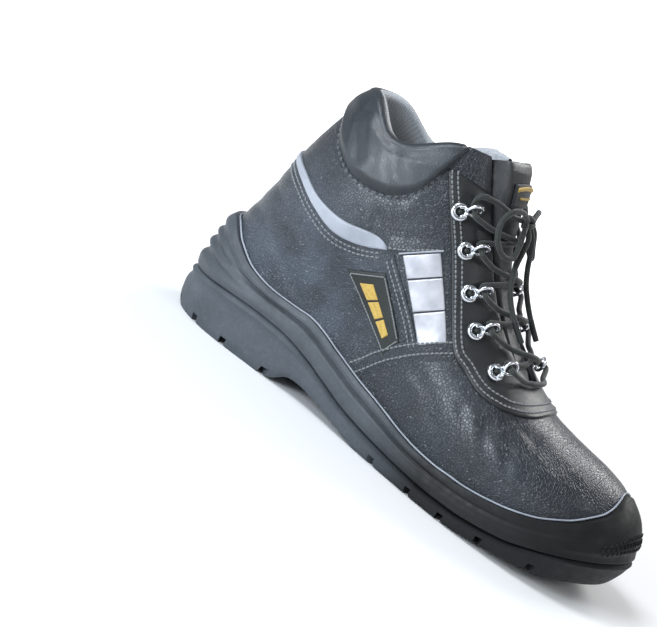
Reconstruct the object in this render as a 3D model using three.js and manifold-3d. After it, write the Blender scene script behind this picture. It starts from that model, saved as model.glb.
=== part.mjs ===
// Lace-up safety boot for the right foot, ankle height, standing empty on its sole.
// Millimetres. +X points to the toe, +Y to the inner side of the foot, +Z up.
// The model is built with x = 0 at the back of the heel and then moved, so that the origin lies
// on the floor under the middle of the heel.
import * as THREE from "three";
import { mergeVertices } from "three/addons/utils/BufferGeometryUtils.js";
import Module from "manifold-3d";

const wasm = await Module();
wasm.setup();

// Lengths and heights of the last
const UPPER_LENGTH = 281; // back of the heel counter to the tip of the toe box
const UPPER_HEIGHT = 133; // heel seat to the back of the collar
const HEEL_SEAT = 30; // height of the heel seat over the floor
const UPPER_BACK = 7; // how far the upper stands in from the back of the sole
const TOE_SWING = 7; // how far the toe turns to the inner side

// Half-breadths of the upper
const BALL_HALF = 51;
const HEEL_HALF = 35;
const SHAFT_HALF = 43;

// Sole
const SOLE_FRONT = 15; // how far the sole stands out in front of the toe box
const SOLE_LENGTH = UPPER_BACK + UPPER_LENGTH + SOLE_FRONT;
const SOLE_MARGIN = 6; // how far the sole stands out of the upper at either side
const SOLE_BALL_HALF = BALL_HALF + SOLE_MARGIN;
const SOLE_HEEL_HALF = HEEL_HALF + SOLE_MARGIN;
const SOLE_RIM_HEIGHT = 43; // rim over the floor at the side of the heel
const RIM_THICKNESS = 4;
const PARTING_HEIGHT = 28; // outsole edge over the floor at the heel
const PARTING_INSET = 1.4; // how far the groove between outsole and midsole is cut in
const MIDSOLE_FLOOR = 5; // thinnest midsole under the foot
const HEEL_TREAD_AT = 0.14; // middle of the heel's tread, as a share of the sole's length
const BALL_TREAD_AT = 0.69; // middle of the forefoot's tread
const TREAD_DEPTH = 4.5;
const TOE_SPRING = 11;
const ARCH_LIFT = 8;

// Walls and clearances
const WALL = 2.4; // leather and lining
const COLLAR_PAD = 5.5; // foam added to the wall at the collar
const GAP = 0.3;
const INSOLE_THICK = 4;
const OVERLAY_THICK = 1.5;
const TRIM_THICK = 1.1;

// Throat, tongue and lacing
const THROAT_HALF_LOW = 11;
const THROAT_HALF_HIGH = 21;
const RING_PLATE_RADIUS = 5.2;
const RING_PLATE_THICK = 1;
const RING_POST_RADIUS = 3.9;
const RING_WIRE_RADIUS = 0.95;
const RING_HALF = 3.85;
const LACE_RADIUS = 1.6;

// How many facets go round a section of the upper's outer face and its inner face
const AROUND = 40;
const AROUND_INSIDE = 30;

// Turns rows of numbers into named columns.
const columns = (names, rows) =>
  Object.fromEntries(names.split(" ").map((name, i) => [name, rows.map((row) => row[i])]));

// Courses of the upper from the sole to the collar: where each one starts at the back and ends at
// the front, and how far it dips between. x is a share of UPPER_LENGTH, z and dip of UPPER_HEIGHT.
const COURSES = columns("backX backZ frontX frontZ dip", [
  [0.018, 0.0, 0.982, -0.068, 0.061],
  [0.0, 0.09, 1.0, 0.045, 0.06],
  [-0.003, 0.165, 0.998, 0.125, 0.038],
  [0.0, 0.21, 0.988, 0.19, 0.022],
  [0.006, 0.248, 0.962, 0.236, 0.008],
  [0.011, 0.286, 0.91, 0.262, 0.0],
  [0.016, 0.323, 0.842, 0.278, 0.0],
  [0.021, 0.368, 0.778, 0.3, 0.0],
  [0.027, 0.421, 0.722, 0.343, 0.0],
  [0.032, 0.489, 0.665, 0.413, 0.0],
  [0.039, 0.571, 0.601, 0.511, 0.0],
  [0.049, 0.669, 0.544, 0.639, 0.015],
  [0.063, 0.774, 0.495, 0.782, 0.038],
  [0.08, 0.887, 0.452, 0.932, 0.075],
  [0.094, 1.0, 0.416, 1.075, 0.127],
]);
const TOP_COURSE = COURSES.backX.length - 1;
const FEATHER_COURSE = 1; // the course where the toe box is longest
const THROAT_COURSE = 8.35; // the course at the bottom of the lace opening

// Half-breadth of the upper near the sole along its length, as a share of BALL_HALF.
const UPPER_PLAN = columns("at outer inner", [
  [0.0, 0.686, 0.686],
  [0.13, 0.69, 0.68],
  [0.25, 0.67, 0.65],
  [0.35, 0.69, 0.64],
  [0.47, 0.79, 0.71],
  [0.6, 0.92, 0.85],
  [0.71, 1.0, 0.94],
  [0.82, 1.02, 0.98],
  [1.0, 1.0, 0.96],
]);

// Half-breadth of the sole along its length, as a share of SOLE_BALL_HALF.
const SOLE_PLAN = columns("at outer inner", [
  [0.0, 0.71, 0.71],
  [0.15, 0.71, 0.7],
  [0.25, 0.69, 0.67],
  [0.34, 0.67, 0.63],
  [0.46, 0.75, 0.68],
  [0.57, 0.88, 0.82],
  [0.68, 0.98, 0.93],
  [0.77, 1.0, 0.96],
  [1.0, 0.99, 0.94],
]);

// Lines along the side of the sole: height at each share of the sole's length. tread is a share
// of ARCH_LIFT, spring of TOE_SPRING, parting of PARTING_HEIGHT and rim of SOLE_RIM_HEIGHT.
const SOLE_LINES = columns("at tread spring parting rim", [
  [0.0, 0.35, 0.0, 0.79, 1.4],
  [0.03, 0.05, 0.0, 0.84, 1.38],
  [0.07, 0.0, 0.0, 0.89, 1.24],
  [0.12, 0.0, 0.0, 0.96, 1.08],
  [0.18, 0.0, 0.0, 1.0, 1.0],
  [0.25, 0.0, 0.0, 0.98, 1.0],
  [0.28, 0.2, 0.0, 0.93, 1.01],
  [0.31, 1.0, 0.0, 0.85, 0.98],
  [0.36, 0.95, 0.0, 0.7, 0.88],
  [0.43, 0.45, 0.0, 0.5, 0.76],
  [0.49, 0.0, 0.0, 0.4, 0.68],
  [0.58, 0.0, 0.0, 0.33, 0.56],
  [0.65, 0.0, 0.0, 0.3, 0.52],
  [0.69, 0.0, 0.0, 0.31, 0.53],
  [0.74, 0.0, 0.1, 0.34, 0.55],
  [0.82, 0.0, 0.4, 0.47, 0.64],
  [0.88, 0.0, 0.6, 0.67, 0.76],
  [0.93, 0.0, 0.76, 0.85, 0.94],
  [0.97, 0.0, 0.9, 1.0, 1.16],
  [1.0, 0.0, 1.0, 1.1, 1.42],
]);

// Section of the midsole wall from the parting line to the rim. rise is a share of the wall's
// height, lean of the way from the sole's outline to the upper. The rest is the swell out of that
// line in millimetres: round the back of the heel, along the side and at the tip of the toe.
const MIDSOLE_WALL = columns("rise lean heel side toe", [
  [0.07, 0.02, 0.3, 0.3, 0.3],
  [0.22, 0.16, 1.8, 0.9, 1.6],
  [0.34, 0.24, -0.6, 0.9, 2.8],
  [0.46, 0.38, 2.2, 0.7, 3.6],
  [0.56, 0.48, 0.0, 0.4, 4.2],
  [0.66, 0.6, 2.0, -1.7, 4.4],
  [0.74, 0.7, 0.2, 0.2, 4.4],
  [0.87, 0.86, 2.0, 0.5, 3.4],
  [1.0, 1.0, -0.4, -0.6, 0.4],
]);

// Section of the outsole wall from the tread to the parting line, with the same columns.
const OUTSOLE_WALL = columns("rise heel side toe", [
  [0.0, -2.4, -2.4, -9.0],
  [0.18, -0.6, -0.6, -5.0],
  [0.55, 0.6, 0.0, -1.5],
  [0.78, -0.4, 0.2, -0.2],
  [0.9, 0.8, 1.1, 0.6],
]);

// Smooth numbers
const clamp = (v, low, high) => Math.min(high, Math.max(low, v));
const mix = (a, b, s) => a + (b - a) * s;
const steps = (low, high, count) =>
  Array.from({ length: count + 1 }, (_, i) => mix(low, high, i / count));
const smooth = (low, high, v) => {
  const s = clamp((v - low) / (high - low), 0, 1);
  return s * s * (3 - 2 * s);
};

// Value of a column between its rows, by row number, as a Catmull-Rom curve that runs on straight
// past its ends.
function along(column, t) {
  const last = column.length - 1;
  if (t <= 0) return column[0] + (column[1] - column[0]) * t;
  if (t >= last) return column[last] + (column[last] - column[last - 1]) * (t - last);
  const i = Math.floor(t);
  const s = t - i;
  const at = (k) => column[clamp(k, 0, last)];
  const [a, b, c, d] = [at(i - 1), at(i), at(i + 1), at(i + 2)];
  return b + 0.5 * s * (c - a + s * (2 * a - 5 * b + 4 * c - d + s * (3 * (b - c) + d - a)));
}

// Value of a table's column at x, by its column at.
function lookup(table, name, x) {
  const at = table.at;
  let i = 0;
  while (i < at.length - 2 && at[i + 1] < x) i += 1;
  return along(table[name], i + clamp((x - at[i]) / (at[i + 1] - at[i]), 0, 1));
}

// The row number at which a falling or rising function of t reaches a value.
function solve(f, value, low, high) {
  const rising = f(high) > f(low);
  for (let k = 0; k < 40; k += 1) {
    const mid = (low + high) / 2;
    if (f(mid) < value === rising) low = mid;
    else high = mid;
  }
  return (low + high) / 2;
}

// The last
const upperX = (share) => UPPER_BACK + UPPER_LENGTH * share;
const upperZ = (share) => HEEL_SEAT + UPPER_HEIGHT * share;
const backX = (t) => upperX(along(COURSES.backX, t));
const backZ = (t) => upperZ(along(COURSES.backZ, t));
const frontX = (t) => upperX(along(COURSES.frontX, t));
const frontZ = (t) => upperZ(along(COURSES.frontZ, t));
const TIP_X = frontX(FEATHER_COURSE);
const WIDE_Z = frontZ(FEATHER_COURSE);
const swing = (x) => TOE_SWING * smooth(0.35, 1, x / UPPER_LENGTH);

// Height of the ridge line over x: toe box, vamp, instep and the line of the tongue.
function ridgeZ(x) {
  const top = TOP_COURSE + 6;
  if (x >= TIP_X) return WIDE_Z;
  return frontZ(solve(frontX, x, FEATHER_COURSE, top));
}

// Half-breadth of the upper at x and z. side is -1 on the outer side and 1 on the inner side.
const TOE_ROUND = 2.6;
const TOE_FROM = 0.74; // share of the length where the toe starts to close
const HEEL_ROUND = 2.3;
const DOME = 2.5;
function upperHalf(x, z, side, back, tip) {
  const share = (x - UPPER_BACK) / UPPER_LENGTH;
  const low = BALL_HALF * lookup(UPPER_PLAN, side < 0 ? "outer" : "inner", share);
  const up = smooth(0.12, 0.6, (z - HEEL_SEAT) / UPPER_HEIGHT);
  const under = 1 - 0.05 * smooth(0, 1, (WIDE_Z - z) / WIDE_Z);
  const wide = mix(low * under, SHAFT_HALF, up);
  const from = UPPER_BACK + UPPER_LENGTH * TOE_FROM;
  const toe = Math.sqrt(Math.max(0, 1 - clamp((x - from) / (tip - from), 0, 1) ** TOE_ROUND));
  const reach = mix(HEEL_HALF * 1.45, SHAFT_HALF * 1.5, up);
  const heel = Math.sqrt(Math.max(0, 1 - clamp(1 - (x - back) / reach, 0, 1) ** HEEL_ROUND));
  const v = clamp((z - WIDE_Z) / Math.max(1e-6, ridgeZ(x) - WIDE_Z), 0, 1);
  return wide * toe * heel * Math.sqrt(1 - v ** DOME);
}

// Depth of a course's dip, at its share q from back to front.
const dipShape = (q, at, sharp) =>
  (q / at) ** (sharp * at) * ((1 - q) / (1 - at)) ** (sharp * (1 - at));

// Point of the upper's outer face at course t and angle a: 0 at the front, a quarter turn on the
// outer side, half a turn at the back.
function upperPoint(t, a) {
  const q = (1 + Math.cos(a)) / 2;
  const high = smooth(FEATHER_COURSE, TOP_COURSE - 3, t);
  const dip = along(COURSES.dip, Math.min(t, TOP_COURSE)) * UPPER_HEIGHT;
  const x = mix(backX(t), frontX(t), q);
  const z = mix(backZ(t), frontZ(t), q) - dip * dipShape(q, mix(0.68, 0.45, high), mix(5, 7, high));
  const side = a <= Math.PI ? -1 : 1;
  const tip = t < FEATHER_COURSE ? frontX(t) : TIP_X;
  const end = Math.min(q, 1 - q) < 1e-9;
  const half = end ? 0 : upperHalf(x, z, side, backX(t), tip);
  return new THREE.Vector3(x, swing(x) + side * half, z);
}

// The same point moved out along the face's normal.
function upperOut(t, a, out) {
  const step = 0.02;
  const p = upperPoint(t, a);
  const turn = upperPoint(t, a + step).sub(upperPoint(t, a - step + (a < step ? 2 * Math.PI : 0)));
  const rise = upperPoint(t + step, a).sub(upperPoint(t - step, a));
  return p.addScaledVector(turn.cross(rise).normalize(), -out);
}

// Meshes and solids
const ring = (count, make) => Array.from({ length: count }, (_, i) => make((2 * Math.PI * i) / count));

function solidOf(geometry) {
  for (const name of ["normal", "uv"]) geometry.deleteAttribute(name);
  const merged = mergeVertices(geometry, 1e-4);
  return new wasm.Manifold(
    new wasm.Mesh({
      numProp: 3,
      vertProperties: new Float32Array(merged.attributes.position.array),
      triVerts: new Uint32Array(merged.index.array),
    }),
  );
}

function geometryOf(solid) {
  const mesh = solid.getMesh();
  const geometry = new THREE.BufferGeometry();
  geometry.setAttribute("position", new THREE.BufferAttribute(new Float32Array(mesh.vertProperties), 3));
  geometry.setIndex(new THREE.BufferAttribute(new Uint32Array(mesh.triVerts), 1));
  geometry.computeVertexNormals();
  return geometry;
}

// Closed mesh through rings of points that all turn the same way. Flipped, it is for rings that
// come in the opposite order, from the top down. With caps, the first and last
// ring are closed by strips that join points facing each other across the ring; without, the last
// ring is joined back to the first.
function loftSolid(rings, caps, flipped = false) {
  const n = rings[0].length;
  const triangles = [];
  const rows = caps ? rings.length - 1 : rings.length;
  const quad = (a, b, c, d) => triangles.push(a, b, c, a, c, d);
  for (let r = 0; r < rows; r += 1) {
    const [low, high] = [r * n, ((r + 1) % rings.length) * n];
    for (let i = 0; i < n; i += 1) {
      const j = (i + 1) % n;
      quad(low + i, high + i, high + j, low + j);
    }
  }
  if (caps) {
    for (const [base, up] of [[0, false], [(rings.length - 1) * n, true]]) {
      for (let i = 0; i < n / 2; i += 1) {
        const [a, b, c, d] = [base + i, base + i + 1, base + ((n - i - 1) % n), base + ((n - i) % n)];
        if (up) quad(a, d, c, b);
        else quad(a, b, c, d);
      }
    }
  }
  if (flipped) triangles.reverse();
  const flat = triangles.flatMap((k) => rings[Math.floor(k / n)][k % n].toArray());
  const geometry = new THREE.BufferGeometry();
  geometry.setAttribute("position", new THREE.BufferAttribute(new Float32Array(flat), 3));
  return solidOf(geometry);
}

// Solid inside an offset of the upper's outer face, over a run of courses.
const upperCore = (courses, out, around = AROUND) =>
  loftSolid(courses.map((t) => ring(around, (a) => upperOut(t, a, out(t, a)))), true);

// Wall between two offsets of the upper's outer face, open at both ends.
function upperWall(courses, outer, inner) {
  const past = [courses[0] - 0.5, ...courses, courses[courses.length - 1] + 0.5];
  return upperCore(courses, outer).subtract(upperCore(past, inner));
}

// Sideways limits of prisms that cut the boot in the side view
const BOTH_SIDES = [-2 * BALL_HALF, 2 * BALL_HALF];
const OUTER_SIDE = [-2 * BALL_HALF, 0];
const INNER_SIDE = [0, 2 * BALL_HALF];

// Prism over an outline drawn in the x-z plane, from y = low to y = high.
function sidePrism(points, [low, high]) {
  const shape = new THREE.Shape(points.map(([x, z]) => new THREE.Vector2(x, z)));
  const geometry = new THREE.ExtrudeGeometry(shape, { depth: high - low, bevelEnabled: false });
  geometry.rotateX(Math.PI / 2);
  geometry.translate(0, high, 0);
  return solidOf(geometry);
}

// Tube along points, with closed ends.
function tube(points, radius, sides, steps) {
  const section = new THREE.Shape(
    Array.from({ length: sides }, (_, i) => {
      const a = (2 * Math.PI * i) / sides;
      return new THREE.Vector2(radius * Math.cos(a), radius * Math.sin(a));
    }),
  );
  const path = points.length === 2 ? new THREE.LineCurve3(...points) : new THREE.CatmullRomCurve3(points);
  return solidOf(new THREE.ExtrudeGeometry(section, { steps, extrudePath: path }));
}

// Upper
const COURSE_STEPS = [0.06, 0.6, 1.3, 2, 2.6, 3.2, 4, 5, 6.2, 7.4, 8.6, 9.8, 11, 12, 12.7, 13.4, 14];

// How much of the collar's padding lies at course t and angle a: none at the lace facings.
function padShare(t, a) {
  const fromFront = Math.abs(Math.PI - Math.abs(Math.PI - a));
  return smooth(11.6, 13.2, t) * smooth(0.55, 1.1, fromFront);
}

// Opening between the lace facings, seen from the front and above, cut through one wall only.
function throatCutter() {
  const length = THROAT_HIGH.distanceTo(THROAT_LOW);
  const shape = new THREE.Shape();
  shape.moveTo(THROAT_HALF_LOW, THROAT_HALF_LOW);
  shape.lineTo(THROAT_HALF_HIGH, length);
  shape.lineTo(-THROAT_HALF_HIGH, length);
  shape.lineTo(-THROAT_HALF_LOW, THROAT_HALF_LOW);
  shape.absarc(0, THROAT_HALF_LOW, THROAT_HALF_LOW, Math.PI, 2 * Math.PI, false);
  return throatPrism(shape);
}

// Lower edge of the padded collar in the side view, from the back to the facing.
const PAD_LINE = columns("at z", [
  [-0.05, 0.9],
  [0.08, 0.86],
  [0.13, 0.75],
  [0.2, 0.69],
  [0.28, 0.71],
  [0.33, 0.8],
  [0.355, 1.0],
  [0.38, 1.3],
]);
const PAD_SWELL = 3; // how far the padded collar stands out of the upper's face
function collarSwell(t, a) {
  const p = upperPoint(t, a);
  const line = upperZ(lookup(PAD_LINE, "z", (p.x - UPPER_BACK) / UPPER_LENGTH));
  return PAD_SWELL * smooth(0, 12, p.z - line) * (1 - 0.7 * smooth(13.4, TOP_COURSE, t));
}

const INSIDE_STEPS = [-0.4, 0.6, 1.8, 3.2, 5, 7.4, 9.8, 11.2, 12.1, 12.8, 13.5, 14.5];

function upperSolid() {
  const inner = (t, a) => -(WALL + COLLAR_PAD * padShare(t, a));
  const inside = upperCore(INSIDE_STEPS, inner, AROUND_INSIDE);
  return upperCore(COURSE_STEPS, collarSwell).subtract(inside).subtract(throatCutter());
}

// Overlays on the upper. Outlines are points in the side view, as shares of UPPER_LENGTH along x
// and of UPPER_HEIGHT along z.
const outline = (rows) => rows.map(([x, z]) => [upperX(x), upperZ(z)]);
const EYESTAY_EDGE = outline([
  [0.35, 0.99],
  [0.355, 0.93],
  [0.44, 0.69],
  [0.548, 0.38],
  [0.6, 0.315],
  [0.65, 0.275],
  [0.7, 0.27],
  [0.75, 0.3],
]);
const FRONT_CORNERS = outline([
  [0.9, 0.5],
  [0.6, 1.3],
  [0.325, 1.3],
]);
const PATCH_OUTLINE = outline([
  [0.376, 0.555],
  [0.432, 0.648],
  [0.542, 0.365],
  [0.5, 0.29],
]);
const BADGE_OUTLINE = outline([
  [0.288, 0.366],
  [0.371, 0.46],
  [0.475, 0.253],
  [0.455, 0.155],
]);
const STRIP_OUTLINE = outline([
  [-0.05, 0.6],
  [0.035, 0.588],
  [0.1, 0.55],
  [0.165, 0.497],
  [0.23, 0.462],
  [0.29, 0.482],
  [0.345, 0.535],
  [0.33, 0.556],
  [0.3, 0.56],
  [0.235, 0.527],
  [0.165, 0.54],
  [0.1, 0.585],
  [0.035, 0.612],
  [-0.05, 0.62],
]);

// Overlay of a thickness on the upper's face, inside a side outline, between two sideways limits.
function overlay(points, thick, limits) {
  const shell = upperWall(
    COURSE_STEPS.slice(6),
    (t, a) => collarSwell(t, a) + GAP + thick,
    (t, a) => collarSwell(t, a) + GAP,
  );
  return shell.intersect(sidePrism(points, limits));
}

const eyestaySolid = () =>
  overlay([...EYESTAY_EDGE, ...FRONT_CORNERS], OVERLAY_THICK, BOTH_SIDES).subtract(throatCutter());
const patchSolid = (points, side) => overlay(points, TRIM_THICK, side < 0 ? OUTER_SIDE : INNER_SIDE);

// Course and angle of the upper's outer face at x and z in the side view.
function courseAt(x, z, side) {
  const share = (t) => clamp((x - backX(t)) / (frontX(t) - backX(t)), 0, 1);
  const angle = (t) => Math.acos(2 * share(t) - 1);
  const t = solve((c) => upperPoint(c, angle(c)).z, z, 0, TOP_COURSE + 1);
  return [t, side < 0 ? angle(t) : 2 * Math.PI - angle(t)];
}

// Prism over a shape drawn on the lace opening: across it, and along it from its low end.
const ridgePoint = (t) => new THREE.Vector3(frontX(t), swing(frontX(t)), frontZ(t));
const THROAT_LOW = ridgePoint(THROAT_COURSE);
const THROAT_HIGH = ridgePoint(TOP_COURSE + 2);
const THROAT_UP = THROAT_HIGH.clone().sub(THROAT_LOW).normalize();
function throatPrism(shape) {
  const out = new THREE.Vector3(0, 1, 0).cross(THROAT_UP).normalize();
  const side = THROAT_UP.clone().cross(out);
  const geometry = new THREE.ExtrudeGeometry(shape, { depth: 70, bevelEnabled: false, curveSegments: 8 });
  geometry.translate(0, 0, -35);
  geometry.applyMatrix4(new THREE.Matrix4().makeBasis(side, THROAT_UP, out).setPosition(THROAT_LOW));
  return solidOf(geometry);
}

// Tongue: a padded strip behind the lace facings that fills the opening and runs up past the
// collar, where it stands forward. lift is how far its middle stands out of the upper's face.
const TONGUE = columns("course lift thick half", [
  [7.5, -2.9, 2.4, 15],
  [8.3, -2.9, 3.2, 19],
  [9.2, -0.6, 4.6, 23],
  [10.2, 1.0, 5.0, 26],
  [11.2, 1.6, 5.0, 29],
  [11.9, 3.0, 5.5, 31],
  [12.6, 6.0, 6.5, 32],
  [13.2, 9.0, 7.5, 32],
  [13.7, 10.6, 8.0, 31],
  [13.95, 9.8, 6.4, 30],
  [14.05, 8.6, 3.0, 28],
]);
const TONGUE_CLEAR = 0.75; // room between the tongue and the wall it lies behind
const TONGUE_TOP = TONGUE.course.length - 1;

// Half-width of the lace opening at a course.
function slotHalf(t) {
  const length = THROAT_HIGH.distanceTo(THROAT_LOW);
  const u = ridgePoint(t).sub(THROAT_LOW).dot(THROAT_UP);
  if (u >= THROAT_HALF_LOW) return mix(THROAT_HALF_LOW, THROAT_HALF_HIGH, u / length);
  return Math.sqrt(Math.max(0, THROAT_HALF_LOW ** 2 - (THROAT_HALF_LOW - Math.max(u, 0)) ** 2));
}

// Angle on course t at a distance y from the middle line of the front, outer side negative.
function angleAcross(t, y) {
  const across = (a) => Math.abs(upperPoint(t, a).y - swing(upperPoint(t, a).x));
  const a = Math.abs(y) < 1e-6 ? 0 : solve(across, Math.abs(y), 0, Math.PI / 2);
  return y <= 0 ? a : 2 * Math.PI - a;
}

// Point of the tongue at row k, a distance y from its middle and a depth under its front face.
function tonguePoint(k, y, depth) {
  const t = TONGUE.course[k];
  const slot = Math.max(slotHalf(t), 7);
  const a = angleAcross(t, y);
  const side = -(WALL + COLLAR_PAD * padShare(t, a) + TONGUE_CLEAR);
  const front = mix(TONGUE.lift[k], side, smooth(slot - 3.8, slot - 1.1, Math.abs(y)));
  return upperOut(t, a, front - depth);
}

function tongueSolid() {
  const rings = TONGUE.course.map((t, k) => {
    const half = TONGUE.half[k];
    const slot = Math.max(slotHalf(t), 7);
    const rise = [slot * 0.45, slot - 3.8, slot - 2.4, slot - 1.1, mix(slot, half, 0.5), half - 1.5];
    const across = [...rise.map((y) => -y).reverse(), 0, ...rise];
    const back = across.map((y) => tonguePoint(k, y, TONGUE.thick[k]));
    const front = across.map((y) => tonguePoint(k, y, 0)).reverse();
    const edge = (y) => tonguePoint(k, y, TONGUE.thick[k] / 2);
    return [edge(-half), ...back, edge(half), ...front];
  });
  return loftSolid(rings, true);
}

// Label on the front of the tongue, between the collar's edge and the top lace rings.
const LABEL_ROWS = [12.86, 13.04, 13.22, 13.42];
const LABEL_HALF = 10.5;
const LABEL_THICK = 1.2;
function labelSolid() {
  const rings = LABEL_ROWS.map((t) => {
    const across = steps(-LABEL_HALF, LABEL_HALF, 4);
    const lift = tongueRow("lift", t) + GAP + 0.35;
    const point = (y, out) => upperOut(t, angleAcross(t, y), lift + out);
    const edge = (y) => point(y, LABEL_THICK / 2);
    return [
      edge(-LABEL_HALF - 0.5),
      ...across.map((y) => point(y, 0)),
      edge(LABEL_HALF + 0.5),
      ...across.map((y) => point(y, LABEL_THICK)).reverse(),
    ];
  });
  return loftSolid(rings, true);
}
function tongueRow(name, t) {
  let i = 0;
  while (i < TONGUE_TOP - 1 && TONGUE.course[i + 1] < t) i += 1;
  const s = (t - TONGUE.course[i]) / (TONGUE.course[i + 1] - TONGUE.course[i]);
  return mix(TONGUE[name][i], TONGUE[name][i + 1], s);
}

// Lace rings: a riveted plate on the facing with a wire loop towards the opening. One row for
// each pair, from the top down; x and z are shares as in the outlines above.
const RINGS = columns("x z", [
  [0.412, 0.823],
  [0.462, 0.703],
  [0.514, 0.567],
  [0.567, 0.455],
  [0.644, 0.36],
]);
const LOOP_TILT = (55 * Math.PI) / 180;

// Frame on the facing at a lace ring: middle of the plate, and the directions out of the leather,
// towards the opening and up along it.
function ringFrame(k, side) {
  const [t, a] = courseAt(upperX(RINGS.x[k]), upperZ(RINGS.z[k]), side);
  const base = upperOut(t, a, OVERLAY_THICK + 3 * GAP);
  const out = upperOut(t, a, 10).sub(upperPoint(t, a)).normalize();
  const up = THROAT_UP.clone().addScaledVector(out, -THROAT_UP.dot(out)).normalize();
  const front = up.clone().cross(out).multiplyScalar(-side).normalize();
  return { base, out, up, front };
}

// Middle of a ring's loop, where the lace passes.
const LOOP_AHEAD = 7.6;
const LOOP_RISE = RING_HALF * Math.sin(LOOP_TILT) + RING_WIRE_RADIUS + 0.2;
const loopMiddle = ({ base, out, front }) =>
  base.clone().addScaledVector(front, LOOP_AHEAD).addScaledVector(out, LOOP_RISE);

function ringSolid(k, side) {
  const frame = ringFrame(k, side);
  const { base, out, up, front } = frame;
  const rod = (radius, height, sides) =>
    tube([base.clone(), base.clone().addScaledVector(out, height)], radius, sides, 1);
  const lean = up.clone().multiplyScalar(Math.cos(LOOP_TILT)).addScaledVector(out, Math.sin(LOOP_TILT));
  const centre = loopMiddle(frame);
  const loop = steps(0, 2 * Math.PI, 9)
    .slice(1)
    .map((turn) => {
      const p = centre.clone().addScaledVector(front, RING_HALF * 1.1 * Math.cos(turn));
      return p.addScaledVector(lean, RING_HALF * Math.sin(turn));
    });
  const normal = front.clone().cross(lean).normalize();
  const wire = loop.map((p) => ringOf(p, p.clone().sub(centre).normalize(), normal, RING_WIRE_RADIUS, 4));
  const post = rod(RING_POST_RADIUS, LOOP_RISE + 1, 6);
  return rod(RING_PLATE_RADIUS, RING_PLATE_THICK, 9).add(post).add(loftSolid(wire, false));
}

// Points of a circle around p, in the plane of two directions.
const ringOf = (p, u, v, radius, sides) =>
  ring(sides, (a) =>
    p.clone().addScaledVector(u, radius * Math.cos(a)).addScaledVector(v, radius * Math.sin(a)));

// Lace, one piece through all the rings. It runs straight through each loop along the facing, and
// between rings over the facings and the tongue. A layer is one lace radius over what lies there.
const THROUGH = 4; // how far the lace runs straight on each side of a ring
const LACE_DIVE = (29 * Math.PI) / 180; // how steeply it goes in under the loop
const LACE_ROOM = 0.6; // between the lace and what it lies on
const FACING_TOP = GAP + OVERLAY_THICK;
const overFront = (t, y, layer) => {
  const under = Math.max(tongueRow("lift", t), FACING_TOP);
  return upperOut(t, angleAcross(t, y), under + LACE_ROOM + LACE_RADIUS * layer);
};
const KNOT_COURSE = 12.56;
const KNOT_RADIUS = 4.8;
const KNOT_LAYER = 4.2;
const knotMiddle = () => overFront(KNOT_COURSE, 0, KNOT_LAYER);

// Points through one ring, in the direction of the facing, upwards or downwards.
function throughRing(k, side, way) {
  const frame = ringFrame(k, side);
  const middle = loopMiddle(frame);
  const dive = frame.up.clone().multiplyScalar(Math.cos(LACE_DIVE));
  dive.addScaledVector(frame.out, -Math.sin(LACE_DIVE));
  return [-THROUGH, 0, THROUGH].map((run) => middle.clone().addScaledVector(dive, way * run));
}

// Course and angle on the facing under the middle of a ring's loop.
function loopFoot(k, side) {
  const { base, out, front } = ringFrame(k, side);
  const foot = base.addScaledVector(front, LOOP_AHEAD).addScaledVector(out, -OVERLAY_THICK - 3 * GAP);
  return courseAt(foot.x, foot.z, -1);
}

// Points between two rings on either side. hump is the layer where it crosses the middle line.
// The lace leaves a ring upwards and comes to the next from below, but a bar leaves both downwards.
const LEAVE = 0.22; // courses
function acrossFront(from, fromSide, to, hump) {
  const [t0, a0] = loopFoot(from, fromSide);
  const [t1, a1] = loopFoot(to, -fromSide);
  const [start, end] = from === to ? [-LEAVE, -LEAVE] : [LEAVE, -LEAVE];
  return steps(0.16, 0.84, 5).map((s) => {
    const turn = mix(a0, -a1, s);
    const t = mix(t0 + start, t1 + end, s);
    const layer = mix(1, hump, smooth(0.2, 0.42, s) * smooth(0.2, 0.42, 1 - s));
    const p = upperPoint(t, Math.abs(turn));
    return overFront(t, fromSide * Math.sign(turn) * Math.abs(p.y - swing(p.x)), layer);
  });
}

// Tube through points, with a ring of facets at each point and closed ends.
function cordThrough(points, radius, sides) {
  let u = new THREE.Vector3(0, 0, 1);
  const rings = points.map((p, i) => {
    const before = points[Math.max(i - 1, 0)];
    const after = points[Math.min(i + 1, points.length - 1)];
    const way = after.clone().sub(before).normalize();
    u = u.clone().addScaledVector(way, -u.dot(way)).normalize();
    return ringOf(p, u, u.clone().cross(way), radius, sides);
  });
  return loftSolid(rings, true);
}

// Last stretch from the top ring to the knot: courses over the knot's, millimetres from the
// middle line, and layer.
const TO_KNOT = [
  [0.3, 26, 1],
  [0.3, 20, 1],
  [0.2, 14, 1],
  [0.08, 8, 1.6],
];

// The lace from the knot down to the lowest rings and back up to the knot on the other side.
function lacingSolid() {
  const last = RINGS.x.length - 1;
  const knot = knotMiddle();
  const half = (side) => {
    const points = [];
    for (let k = last; k >= 0; k -= 1) {
      const at = (last - k) % 2 ? -side : side;
      points.push(...throughRing(k, at, 1));
      if (k > 0) points.push(...acrossFront(k, at, k - 1, at < 0 ? 1 : 3.3));
    }
    const at = last % 2 ? -side : side;
    points.push(...TO_KNOT.map(([t, y, layer]) => overFront(KNOT_COURSE + t, at * y, layer)));
    return [...points, knot];
  };
  const bar = acrossFront(last, -1, last, 1.6);
  const path = [...half(-1).reverse(), ...bar, ...half(1)];
  return cordThrough(path, LACE_RADIUS, 6).subtract(knotForm(GAP));
}

function knotForm(grow) {
  const geometry = new THREE.SphereGeometry(KNOT_RADIUS + grow, 12, 8);
  geometry.scale(0.85, 1.3, 0.95);
  const knot = knotMiddle();
  geometry.translate(knot.x, knot.y, knot.z);
  return solidOf(geometry);
}

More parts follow.
